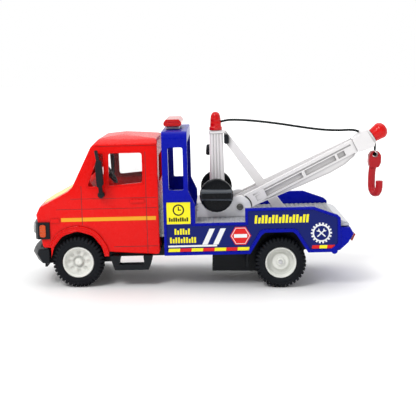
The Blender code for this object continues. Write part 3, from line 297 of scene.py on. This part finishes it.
def smooth(obj):
    obj.data.polygons.foreach_set("use_smooth", [True] * len(obj.data.polygons))
    weighted = obj.modifiers.new("face normals", "WEIGHTED_NORMAL")
    weighted.keep_sharp = False


def round_over(obj):
    """Melts the joins of a small casting into one flowing form."""
    skin = obj.modifiers.new("one skin", "REMESH")
    skin.mode = "VOXEL"
    skin.voxel_size = CASTING_VOXEL * MM
    melt = obj.modifiers.new("flow", "SMOOTH")
    melt.factor = 0.5
    melt.iterations = 10
    smooth(obj)


def dress_nodes():
    """Each CAD node gets its material and, unless it is too fine for one, a small mould radius."""
    fine = ("tow_rope", "hook_line", "hook_knot", "mainspring", "axle_gear", "spring_gear")
    for name, obj in nodes.items():
        obj.data.materials.clear()
        obj.data.materials.append(look_of(name))
        if name == "hook":
            round_over(obj)
        elif name not in fine:
            soften(obj, CAB_MOULD_RADIUS if name == "cab_shell" else MOULD_RADIUS)


# ---- mesh helpers ----
def make(name, mesh_maker, look, body="root", space=LEVEL):
    """A piece from a function that fills a bmesh in millimetres, set into the world and given its body."""
    mesh = bpy.data.meshes.new(name)
    shape = bmesh.new()
    mesh_maker(shape)
    bmesh.ops.recalc_face_normals(shape, faces=shape.faces)
    shape.transform(Matrix.Scale(MM, 4) @ space)
    shape.to_mesh(mesh)
    shape.free()
    mesh.materials.append(LOOKS[look])
    obj = bpy.data.objects.new(name, mesh)
    bpy.context.scene.collection.objects.link(obj)
    if body:
        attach(obj, body)
    return obj


def prism(shape, outline, y0, y1):
    """A solid from an (x, z) outline between two Y values."""
    near = [shape.verts.new((x, y0, z)) for x, z in outline]
    far = [shape.verts.new((x, y1, z)) for x, z in outline]
    count = len(outline)
    shape.faces.new(near)
    shape.faces.new(far[::-1])
    for i in range(count):
        shape.faces.new((near[i], far[i], far[(i + 1) % count], near[(i + 1) % count]))


def box(x0, z0, x1, z1):
    return [(x0, z0), (x1, z0), (x1, z1), (x0, z1)]


def slanted(x0, z0, x1, z1, lean):
    return [(x0, z0), (x1, z0), (x1 + lean, z1), (x0 + lean, z1)]


def ring_outline(centre, radius, count):
    return [
        (centre[0] + radius * math.cos(2 * math.pi * i / count),
         centre[1] + radius * math.sin(2 * math.pi * i / count))
        for i in range(count)
    ]


def shrunk(outline, centre, share_x, share_z):
    """An outline scaled towards a centre."""
    return [(centre[0] + (x - centre[0]) * share_x, centre[1] + (z - centre[1]) * share_z) for x, z in outline]


def loft(shape, rings, loop=False):
    """Skins a list of equal rings of points and closes its ends, or joins the last ring to the first."""
    made = [[shape.verts.new(point) for point in ring] for ring in rings]
    count = len(made[0])
    pairs = list(zip(made, made[1:]))
    if loop:
        pairs.append((made[-1], made[0]))
    for a, b in pairs:
        for i in range(count):
            shape.faces.new((a[i], a[(i + 1) % count], b[(i + 1) % count], b[i]))
    if not loop:
        shape.faces.new(made[0][::-1])
        shape.faces.new(made[-1])


def frames_along(points):
    """Each point with two side vectors, carried along without twist."""
    points = [Vector(p) for p in points]
    side = None
    for i, point in enumerate(points):
        ahead = (points[min(i + 1, len(points) - 1)] - points[max(i - 1, 0)]).normalized()
        if side is None:
            side = ahead.orthogonal().normalized()
        side = (side - ahead * side.dot(ahead)).normalized()
        yield point, side, ahead.cross(side)


def smooth_route(points, spacing):
    """Evenly spaced points along a smooth curve through the given ones."""
    dense = []
    for i in range(len(points) - 1):
        before = Vector(points[max(i - 1, 0)])
        here, ahead = Vector(points[i]), Vector(points[i + 1])
        after = Vector(points[min(i + 2, len(points) - 1)])
        for k in range(24):
            t = k / 24
            dense.append(0.5 * (
                2 * here + (ahead - before) * t
                + (2 * before - 5 * here + 4 * ahead - after) * t * t
                + (3 * here - before - 3 * ahead + after) * t ** 3
            ))
    dense.append(Vector(points[-1]))
    total = sum((b - a).length for a, b in zip(dense, dense[1:]))
    count = max(2, round(total / spacing))
    route, walked, target = [dense[0]], 0.0, total / count
    for a, b in zip(dense, dense[1:]):
        step = (b - a).length
        while walked + step >= target - 1e-9 and len(route) < count:
            route.append(a.lerp(b, (target - walked) / step))
            target += total / count
        walked += step
    route.append(dense[-1])
    return route


def twisted(shape, points, radius, pitch=3.2):
    """Three strands twisted together along a route."""
    sides = 15
    rings, walked, last = [], 0.0, None
    for point, side, up in frames_along(points):
        walked += (point - last).length if last is not None else 0.0
        last = point
        turn = 2 * math.pi * walked / pitch
        ring = []
        for k in range(sides):
            angle = 2 * math.pi * k / sides
            reach = radius * (0.86 + 0.14 * abs(math.cos(1.5 * (angle - turn))))
            ring.append(point + (side * math.cos(angle) + up * math.sin(angle)) * reach)
        rings.append(ring)
    loft(shape, rings)


# ---- wheels ----
def wheel_point(centre, side, angle, radius, inward):
    """A point on a wheel, from its angle, its radius and its distance in from the outer face."""
    return (
        centre[0] + radius * math.cos(angle),
        side * (WHEEL_OUTER - inward),
        centre[2] + radius * math.sin(angle),
    )


def tyre(shape, centre, side):
    """A tyre with staggered lugs round both shoulders, as wide and as tall as the CAD tyre."""
    lugs, steps = 38, 8
    profile = [            # radius, distance in from the outer face, share of a lug's depth
        (RIM_RADIUS + 0.05, 8.9, 0), (RIM_RADIUS + 0.05, 1.7, 0), (RIM_RADIUS - 0.6, 1.2, 0),
        (RIM_RADIUS - 0.55, 0.6, 0), (RIM_RADIUS, 0.15, 0),
        (9.9, 0.0, 0), (10.2, 0.28, 0), (10.6, 0.02, 0), (11.1, 0.05, 0.25), (11.9, 0.3, 0.9), (12.5, 0.8, 1),
        (TYRE_RADIUS, 1.7, 1), (TYRE_RADIUS, 3.6, 0.9), (12.55, 4.3, 0.0), (12.55, 5.1, 0.0),
        (TYRE_RADIUS, 5.8, 0.9), (TYRE_RADIUS, 7.7, 1),
        (12.5, 8.6, 1), (11.9, 9.1, 0.9), (11.1, 9.35, 0.25), (9.9, 9.4, 0),
    ]
    rings = []
    for i in range(lugs * steps):
        angle = 2 * math.pi * i / (lugs * steps)
        ring = []
        for radius, inward, share in profile:
            stagger = 0.5 if inward > TYRE_MIDDLE else 0.0
            phase = (i / steps + stagger) % 1.0
            notch = 1.0 if phase >= LUG_SHARE else 0.0
            ring.append(wheel_point(centre, side, angle, radius - LUG_DEPTH * share * notch, inward))
        rings.append(ring)
    loft(shape, rings, loop=True)


def rim(shape, centre, side, front):
    """A moulded rim with eight dimples: a shallow dish in front, and a deeper stepped one at the rear."""
    steps = 96
    if front:
        profile = [
            (0.0, 1.7), (1.0, 1.72), (1.65, 1.85), (1.85, 2.3), (1.95, 3.5), (2.4, 3.7), (2.75, 3.5),
            (3.1, 2.8),
            (4.2, 3.1), (5.2, 3.1), (6.2, 3.0), (6.5, 2.6), (6.85, 1.5), (7.1, 0.95), (7.5, 0.72), (7.85, 0.8),
            (7.95, 1.3), (8.6, 1.6), (8.6, 8.6), (7.6, 8.8), (7.0, 5.0), (1.2, 5.0), (1.0, 8.8), (0.0, 8.8),
        ]
    else:
        profile = [
            (0.0, 2.7), (1.5, 2.75), (2.0, 3.0), (2.1, 3.6), (2.6, 3.75), (3.6, 3.7), (4.3, 3.85), (4.5, 4.5),
            (5.2, 4.7), (6.1, 4.7), (6.6, 4.3), (6.95, 2.2), (7.15, 1.0), (7.5, 0.72), (7.85, 0.8),
            (7.95, 1.3), (8.6, 1.6), (8.6, 8.6), (7.6, 8.8), (7.0, 6.2), (1.2, 6.2), (1.0, 8.8), (0.0, 8.8),
        ]
    dimples = 8
    at, size, deep = (4.7, 1.15, 1.0) if front else (3.1, 0.5, 0.35)
    rings = []
    for i in range(steps):
        angle = 2 * math.pi * i / steps
        ring = []
        for radius, inward in profile:
            radius = max(radius, 0.02)
            if inward < 5:
                nearest = round(angle / (2 * math.pi) * dimples) * 2 * math.pi / dimples
                across = radius * math.sin(angle - nearest)
                away = math.hypot(across, radius - at) / size
                inward += deep * max(0.0, 1 - away * away)
            ring.append(wheel_point(centre, side, angle, radius, inward))
        rings.append(ring)
    loft(shape, rings, loop=True)


def wheels():
    for place in ("front", "rear"):
        for label, side in SIDES:
            low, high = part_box(f"tyre_{place}_{label}")
            centre = (low + high) / 2 / MM
            body = f"{place}_wheels"
            made = make(f"lugged_tyre_{place}_{label}", lambda s: tyre(s, centre, side), "rubber", body)
            smooth(made)
            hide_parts(f"tyre_{place}_{label}")
            made = make(f"moulded_rim_{place}_{label}", lambda s: rim(s, centre, side, place == "front"), "rim",
                        body)
            smooth(made)
            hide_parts(f"rim_{place}_{label}")


# ---- labels ----
def sticker(name, look, outlines, layer=1):
    """Flat shapes on the sunk label face of both sides of the rear body, one piece for each side."""
    for label, side in SIDES:
        def fill(shape, side=side):
            for outline in outlines:
                low = LABEL_FACE + 0.01
                prism(shape, outline, side * low, side * (low + INK_LAYER * layer))
        make(f"{name}_{label}", fill, look, "root", BODY)


def hazard_strip(x0, x1, z0, z1, count, first):
    """Alternate segments of a slanted hazard strip."""
    pitch = (x1 - x0) / count
    return [slanted(x0 + pitch * i, z0, x0 + pitch * (i + 1), z1, 0.25) for i in range(first, count, 2)]


def gear_shape(centre, radius, teeth):
    points = []
    for i in range(teeth):
        for share, reach in ((-0.28, 0.84), (-0.22, 1.0), (0.22, 1.0), (0.28, 0.84)):
            angle = 2 * math.pi * (i + share) / teeth
            points.append((centre[0] + radius * reach * math.cos(angle),
                           centre[1] + radius * reach * math.sin(angle)))
    return points


def tool_bar(centre, angle, length, width):
    """One tool of the emblem: a plain bar with a forked end."""
    direction = Vector((math.cos(angle), math.sin(angle)))
    across = Vector((-direction.y, direction.x))
    middle = Vector(centre)
    half, w = length / 2, width / 2
    points = [(-half, -w), (half * 0.55, -w), (half * 0.75, -w * 2.6), (half, -w * 2.6),
              (half * 0.85, -w * 0.8),
              (half * 0.85, w * 0.8), (half, w * 2.6), (half * 0.75, w * 2.6), (half * 0.55, w), (-half, w)]
    return [tuple(middle + direction * a + across * b) for a, b in points]


def strokes(x0, z0, x1, z1, pitch, ink, lean=0.0):
    """A row of upright bars of two heights that stands where a printed line would be."""
    row, x, i = [], x0, 0
    while x + ink <= x1 + 1e-6:
        top = z0 + (z1 - z0) * (1.0 if i % 3 != 1 else SHORT_STROKE)
        row.append(slanted(x, z0, x + ink, top, lean))
        x += pitch
        i += 1
    return row


def labels():
    """Generic print: panels, a clock, a six-sided sign and a cogwheel, with bars where words would be."""
    panel = [
        (-22.3, 19.0), (18.1, 19.0), (24.1, 28.9), (25.9, 29.9), (41.7, 29.9), (43.4, 28.9), (49.5, 19.0),
        (59.5, 19.0), (63.1, 21.8), (63.1, 34.0), (62.5, 34.8), (51.1, 38.9), (18.6, 38.9), (18.6, 31.9),
        (-9.9, 31.9), (-9.9, 33.0), (-22.3, 33.0),
    ]
    sticker("label_panel", "navy", [panel], 1)
    sticker("label_square", "yellow", [box(-22.3, 33.3, -10.4, 44.3)], 2)
    clock = (-16.35, 40.4)
    face = ring_outline(clock, 2.9, 28)
    dial = ring_outline(clock, 2.2, 28)
    hands = [box(clock[0] - 0.25, clock[1] - 0.3, clock[0] + 0.25, clock[1] + 1.8),
             box(clock[0] - 0.3, clock[1] - 0.25, clock[0] + 1.4, clock[1] + 0.25)]
    sticker("clock_ring", "label ink", [face], 3)
    sticker("clock_dial", "yellow", [dial], 4)
    words = strokes(-21.2, 34.6, -11.6, 36.6, 1.1, 0.72)
    sticker("clock_hands", "label ink", hands + words, 5)
    slogan = strokes(-18.6, 27.9, -9.8, 30.9, 1.35, 0.9) + strokes(-21.0, 23.6, -7.0, 26.5, 1.35, 0.9)
    sticker("slogan_bars", "yellow", slogan, 2)
    bars = [slanted(-4.9, 22.5, -2.2, 30.6, 3.9), slanted(0.6, 22.5, 3.3, 30.6, 3.9),
            box(-22.0, 21.5, 2.6, 22.4)]
    sticker("slanted_bars", "label white", bars, 2)
    sign = (14.5, 26.6)
    edge = shrunk(ring_outline(sign, 5.3, 6), sign, 1.0, 0.99)
    inner = shrunk(edge, sign, 0.9, 0.9)
    core = shrunk(edge, sign, 0.84, 0.84)
    sticker("sign_edge", "label red", [edge], 2)
    sticker("sign_line", "label white", [inner], 3)
    sticker("sign_core", "label red", [core], 4)
    sticker("sign_bar", "label white", [box(11.2, 25.7, 17.8, 27.5)], 5)
    sticker("title_bars", "yellow", strokes(21.6, 32.7, 49.3, 36.8, 1.72, 1.2, 0.4), 2)
    wheel = (55.1, 27.1)
    sticker("cog_teeth", "label white", [gear_shape(wheel, 5.3, 18)], 2)
    sticker("cog_core", "navy", [ring_outline(wheel, 3.7, 36)], 3)
    sticker("cog_tools", "label white", [tool_bar(wheel, math.radians(42), 5.4, 0.62)], 4)
    sticker("cog_tools_crossed", "label white", [tool_bar(wheel, math.radians(138), 5.4, 0.62)], 5)
    for look, first in (("yellow", 0), ("label red", 1)):
        segments = hazard_strip(-22.0, 18.6, 19.1, 20.8, 7, first)
        sticker(f"long_strip_{look.replace(' ', '_')}", look, segments, 2)
    for look, first in (("label red", 0), ("yellow", 1)):
        segments = hazard_strip(50.2, 61.6, 19.2, 20.9, 3, first)
        sticker(f"short_strip_{look.replace(' ', '_')}", look, segments, 2)


# ---- cab trim ----
def cab_side(z):
    """Distance of the cab's side from the middle plane at a height."""
    if z <= CAB_WAIST:
        return CAB_HALF_WIDTH
    return CAB_HALF_WIDTH + (GUTTER_HALF_WIDTH - CAB_HALF_WIDTH) * (z - CAB_WAIST) / (CAB_GUTTER - CAB_WAIST)


def side_ribbon(shape, route, width, side, proud=0.06):
    """A thin strip laid on the cab's side along (x, z) points."""
    half = width / 2
    rings = []
    for i, (x, z) in enumerate(route):
        before, after = route[max(i - 1, 0)], route[min(i + 1, len(route) - 1)]
        along = Vector((after[0] - before[0], after[1] - before[1])).normalized()
        across = Vector((-along.y, along.x)) * half
        ring = []
        for dx, dz, out in ((-across.x, -across.y, -0.1), (-across.x, -across.y, proud),
                            (across.x, across.y, proud), (across.x, across.y, -0.1)):
            ring.append((x + dx, side * (cab_side(z + dz) + out), z + dz))
        rings.append(ring)
    loft(shape, rings)


def cab_trim():
    """Door seams and mould lines drawn as dark strips of painted shadow, the side stripe, roof gutters, arch
    beads and window lips.
    """
    seams = [
        [(-65.1, 53.2), (-65.1, CAB_WAIST), (-65.1, 33.6)],
        [(-32.5, 69.8), (-32.5, CAB_WAIST), (-32.5, 18.0)],
        [(-49.6, 22.0), (-27.2, 22.0)],
    ]
    creases = [[(-70.6, 46.8), (-27.2, 46.8)], [(-78.0, 41.6), (-27.2, 41.6)], [(-56.0, 72.9), (-27.2, 72.9)]]
    for label, side in SIDES:
        # painted shadow: the seams and creases are thin dark strips standing in for the shade in the shut lines
        # and creases
        def seam_fill(shape, side=side):
            for route in seams:
                side_ribbon(shape, route, 0.3, side, 0.02)
            for route in creases:
                side_ribbon(shape, route, 0.22, side, 0.02)
        make(f"door_seams_{label}", seam_fill, "seam", "root", BODY)

        def stripe_fill(shape, side=side):
            for x0, x1 in ((-75.8, -65.3), (-64.9, -32.7), (-32.3, -27.9)):
                side_ribbon(shape, [(x0, 36.3), (x1, 36.3)], 1.9, side, 0.05)
        make(f"side_stripe_{label}", stripe_fill, "stripe", "root", BODY)

        def gutter_fill(shape, side=side):
            side_ribbon(shape, [(-57.5, 73.3), (-27.2, 73.3)], 0.6, side, 0.35)
        make(f"roof_gutter_{label}", gutter_fill, "red", "root", BODY)

    centre = BODY.inverted() @ Vector((FRONT_AXLE_X, 0, TYRE_RADIUS))
    reaches = ((14, 13.9), (32, 14.4), (60, 15.6), (90, 16.0), (120, 15.6), (148, 14.4))
    for label, side in SIDES:
        def bead_fill(shape, side=side):
            for out, thick in ((2.1, 0.42), (0.35, 0.36)):
                route = [(centre.x + (reach + out) * math.cos(math.radians(angle)), side * 28.6,
                          centre.z + (reach + out) * math.sin(math.radians(angle)))
                         for angle, reach in reaches]
                rings = []
                for point, across, up in frames_along(smooth_route(route, 0.8)):
                    rings.append([point + (across * math.cos(a) + up * math.sin(a)) * thick
                                  for a in (math.radians(45 * k) for k in range(8))])
                loft(shape, rings)
        bead = make(f"arch_bead_{label}", bead_fill, "red", "root", BODY)
        smooth(bead)

    def gasket(shape, side, outline):
        for i in range(len(outline)):
            a, b = outline[i], outline[(i + 1) % len(outline)]
            side_ribbon(shape, [a, b], 0.5, side, 0.22)
    door = [(-51.4, 52.6), (-33.8, 54.0), (-33.8, 69.6), (-51.4, 69.6)]
    quarter = [(-62.3, 52.4), (-53.2, 52.6), (-53.2, 69.6), (-56.0, 69.6)]
    for label, side in SIDES:
        made = make(f"window_lips_{label}", lambda s: [gasket(s, side, o) for o in (door, quarter)], "red",
                    "root", BODY)


def nose_trim():
    """Grille slats between the headlamps, and a raised ring round each lamp."""
    def slats(shape):
        for i in range(5):
            low = 28.0 + 1.35 * i
            front = [(-91.22, -8.0), (-91.22, 8.0), (-91.0, 11.6), (-90.5, 11.6), (-90.5, -11.6),
                     (-91.0, -11.6)]
            loft(shape, [[(x, y, z) for x, y in front] for z in (low, low + 0.7)])
    make("grille_slats", slats, "black", "root", BODY)
    front_x, aside, middle_z, radius, wire = LAMP_RING
    for label, side in SIDES:
        def ring(shape, side=side):
            rings = []
            for k in range(32):
                a = 2 * math.pi * k / 32
                rings.append([(front_x - wire * math.sin(b),
                               side * aside + (radius + wire * math.cos(b)) * math.cos(a),
                               middle_z + (radius + wire * math.cos(b)) * math.sin(a))
                              for b in (math.pi * j / 4 for j in range(8))])
            loft(shape, rings, loop=True)
        made = make(f"lamp_ring_{label}", ring, "silver", "root", BODY)
        smooth(made)


def bonnet_label():
    """A pale printed panel on the bonnet, following its slope and its bow."""
    low, high = Vector((-85.0, 43.73)), Vector((-73.6, 49.66))
    steps_along, steps_across, half = 8, 12, 19.5
    slope = (high - low).normalized()
    normal = Vector((-slope.y, slope.x))

    def fill(shape):
        rows = []
        for lift in (0.02, 0.12):
            for i in range(steps_along + 1):
                x, z = low.lerp(high, i / steps_along) + normal * lift
                row = []
                for k in range(steps_across + 1):
                    y = -half + 2 * half * k / steps_across
                    forward = max(0.0, min(1.0, (-80.0 - x) / 8.0))
                    bow = 2.0 * (1 - (y / CAB_HALF_WIDTH) ** 2) * forward
                    row.append(shape.verts.new((x - bow, y, z)))
                rows.append(row)
        count = steps_along + 1
        for layer, flip in ((0, True), (1, False)):
            for i in range(steps_along):
                for k in range(steps_across):
                    a, b = rows[layer * count + i], rows[layer * count + i + 1]
                    face = (a[k], b[k], b[k + 1], a[k + 1])
                    shape.faces.new(face[::-1] if flip else face)
        for i in range(steps_along):
            for k in (0, steps_across):
                shape.faces.new((rows[i][k], rows[i + 1][k], rows[count + i + 1][k], rows[count + i][k]))
        for k in range(steps_across):
            for i in (0, steps_along):
                shape.faces.new((rows[i][k], rows[i][k + 1], rows[count + i][k + 1], rows[count + i][k]))
    make("bonnet_label", fill, "bonnet", "root", BODY)


# ---- rear body, deck and rope ----
def tread_ribs():
    """Raised bars over the deck, leaning one way and the other in alternate rows."""
    def fill(shape):
        pitch, row = 2.6, 0
        y = -27.4
        while y < 27.6:
            x = -8.5 + (pitch / 2 if row % 2 else 0)
            while x < 63.5:
                lean = DECK_RIB_LEAN if row % 2 else -DECK_RIB_LEAN
                (ax, ay), (bx, by) = (x - 0.75, y - lean), (x + 0.75, y + lean)
                along = Vector((bx - ax, by - ay)).normalized()
                across = Vector((-along.y, along.x)) * 0.3
                low, high = DECK_TOP - 0.05, DECK_TOP + DECK_RIB_HEIGHT
                base = [(ax - across.x, ay - across.y), (bx - across.x, by - across.y),
                        (bx + across.x, by + across.y), (ax + across.x, ay + across.y)]
                near = [shape.verts.new((px, py, low)) for px, py in base]
                far = [shape.verts.new((px * 0.8 + x * 0.2, py * 0.8 + y * 0.2, high)) for px, py in base]
                shape.faces.new(far)
                for i in range(4):
                    shape.faces.new((near[i], near[(i + 1) % 4], far[(i + 1) % 4], far[i]))
                x += pitch
            y += pitch * 0.72
            row += 1
    make("deck_tread_ribs", fill, "silver", "root", BODY)


def rope():
    """The cord from the mast's cap to the boom's head, and the short line that the hook hangs on."""
    points = [
        (4.2, 0, 82.3), (8.6, 0, 83.2), (14.0, 0, 83.3), (21.0, 0, 82.9), (29.0, 0, 82.1), (37.0, 0, 81.1),
        (45.0, 0, 79.9), (53.0, 0, 78.8), (60.0, 0, 78.1), (67.0, 0, 77.9), (72.0, 0, 78.1), (75.2, 0, 77.9),
        (77.4, 0, 77.2),
    ]
    route = smooth_route(points, 0.35)
    length = sum((b - a).length for a, b in zip(route, route[1:])) * MM
    cord = make("twisted_rope", lambda s: twisted(s, route, 1.07 * ROPE_RADIUS), "cord", None)
    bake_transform(cord)
    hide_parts("tow_rope")
    [tuple(p * MM) for p in smooth_route(points, 2.5)]
    low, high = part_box("hook_line")
    x = (low.x + high.x) / 2 / MM
    steps = 14
    line = [(x, 0, high.z / MM + (low.z - high.z) / MM * i / steps) for i in range(steps + 1)]
    short = make("twisted_hook_line", lambda s: twisted(s, line, ROPE_RADIUS, 2.2), "cord", None)
    tuple(v * MM for v in line[1])
    tuple(v * MM for v in line[-1])
    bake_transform(short)
    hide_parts("hook_line")


def knob_grips():
    """A ribbed finger bar with sloping flanks across each winch knob, in a lighter black as a painted
    highlight.
    """
    for label, side in SIDES:
        low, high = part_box(f"winch_knob_{label}")
        x, z = (low.x + high.x) / 2 / MM, (low.z + high.z) / 2 / MM
        face = side * 21.45
        section = [(face, -2.6), (side * 23.2, -2.2), (side * 23.9, -1.4), (side * 23.5, -0.9),
                   (side * 24.2, -0.4), (side * 24.0, 0.5), (side * 23.5, 1.5), (side * 22.6, 2.6), (face, 3.4)]

        def fill(shape, section=section, x=x, z=z):
            ends = [[shape.verts.new((x + reach, y, z + rise)) for y, rise in section] for reach in (-7.9, 7.9)]
            count = len(section)
            shape.faces.new(ends[0])
            shape.faces.new(ends[1][::-1])
            for i in range(count):
                j = (i + 1) % count
                shape.faces.new((ends[0][i], ends[1][i], ends[1][j], ends[0][j]))
        grip = make(f"knob_grip_{label}", fill, "grip", "winch", LEVEL)
        soften(grip, 0.15)


# ---- stage, lights and camera ----
def area_light(name, place, target, size, power):
    data = bpy.data.lights.new(name, "AREA")
    data.shape = "RECTANGLE"
    data.size = size
    data.size_y = size
    data.energy = power
    lamp = bpy.data.objects.new(name, data)
    bpy.context.scene.collection.objects.link(lamp)
    lamp.location = place
    lamp.rotation_euler = (Vector(target) - Vector(place)).to_track_quat("-Z", "Y").to_euler()


def stage_and_camera():
    floor_mesh = bpy.data.meshes.new("floor")
    shape = bmesh.new()
    reach = 4.0
    shape.faces.new([shape.verts.new(p) for p in ((-reach, -reach, 0), (reach, -reach, 0), (reach, reach, 0),
                                                  (-reach, reach, 0))])
    shape.to_mesh(floor_mesh)
    shape.free()
    floor = bpy.data.objects.new("floor", floor_mesh)
    bpy.context.scene.collection.objects.link(floor)
    floor_look, floor_tree, shader = new_material("studio floor")
    # painted light: the floor glows more the further it lies from the truck, standing in for light that whitens
    # the far floor into the backdrop, while the floor near the truck keeps its shadow
    away = node(floor_tree, "ShaderNodeVectorMath")
    away.operation = "LENGTH"
    floor_tree.links.new(floor_tree.nodes.new("ShaderNodeTexCoord").outputs["Object"], away.inputs[0])
    painted_floor_glow = node(floor_tree, "ShaderNodeMapRange")
    painted_floor_glow.inputs["From Min"].default_value = 0.12
    painted_floor_glow.inputs["From Max"].default_value = 0.7
    painted_floor_glow.inputs["To Min"].default_value = 0.0
    painted_floor_glow.inputs["To Max"].default_value = 0.45
    floor_tree.links.new(away.outputs["Value"], painted_floor_glow.inputs["Value"])
    floor_tree.links.new(painted_floor_glow.outputs["Result"], shader.inputs["Emission Strength"])
    shader.inputs["Emission Color"].default_value = (1, 1, 1, 1)
    shader.inputs["Base Color"].default_value = (0.94, 0.94, 0.94, 1)
    shader.inputs["Roughness"].default_value = 0.55
    floor_mesh.materials.append(floor_look)

    world = bpy.data.worlds.new("studio")
    bpy.context.scene.world = world
    world.use_nodes = True
    tree = world.node_tree
    facing = tree.nodes.new("ShaderNodeSeparateXYZ")
    tree.links.new(tree.nodes.new("ShaderNodeTexCoord").outputs["Generated"], facing.inputs["Vector"])
    front_to_back = node(tree, "ShaderNodeMapRange")
    front_to_back.inputs["From Min"].default_value = -0.5
    front_to_back.inputs["From Max"].default_value = 0.3
    front_to_back.inputs["To Min"].default_value = 0.5
    front_to_back.inputs["To Max"].default_value = 1.0
    tree.links.new(facing.outputs["Y"], front_to_back.inputs["Value"])
    tree.links.new(front_to_back.outputs["Result"], tree.nodes["Background"].inputs["Strength"])
    tree.nodes["Background"].inputs["Color"].default_value = (1, 1, 1, 1)
    area_light("key", (-0.35, -0.55, 0.7), (0, 0, 0.03), 0.3, 4.0)
    area_light("top", (0.0, 0.3, 1.4), (0, 0, 0), 1.6, 7.0)

    data = bpy.data.cameras.new("camera")
    data.lens = 81.1
    data.sensor_width = 36.0
    data.clip_start = 0.01
    camera = bpy.data.objects.new("camera", data)
    bpy.context.scene.collection.objects.link(camera)
    camera.location = (0.0018, -0.494, 0.112)
    camera.rotation_euler = (math.radians(81.30), 0, math.radians(0.43))
    bpy.context.scene.camera = camera
    bpy.context.scene.view_settings.view_transform = "Standard"


dress_nodes()
wheels()
labels()
cab_trim()
knob_grips()
nose_trim()
bonnet_label()
tread_ribs()
rope()
stage_and_camera()
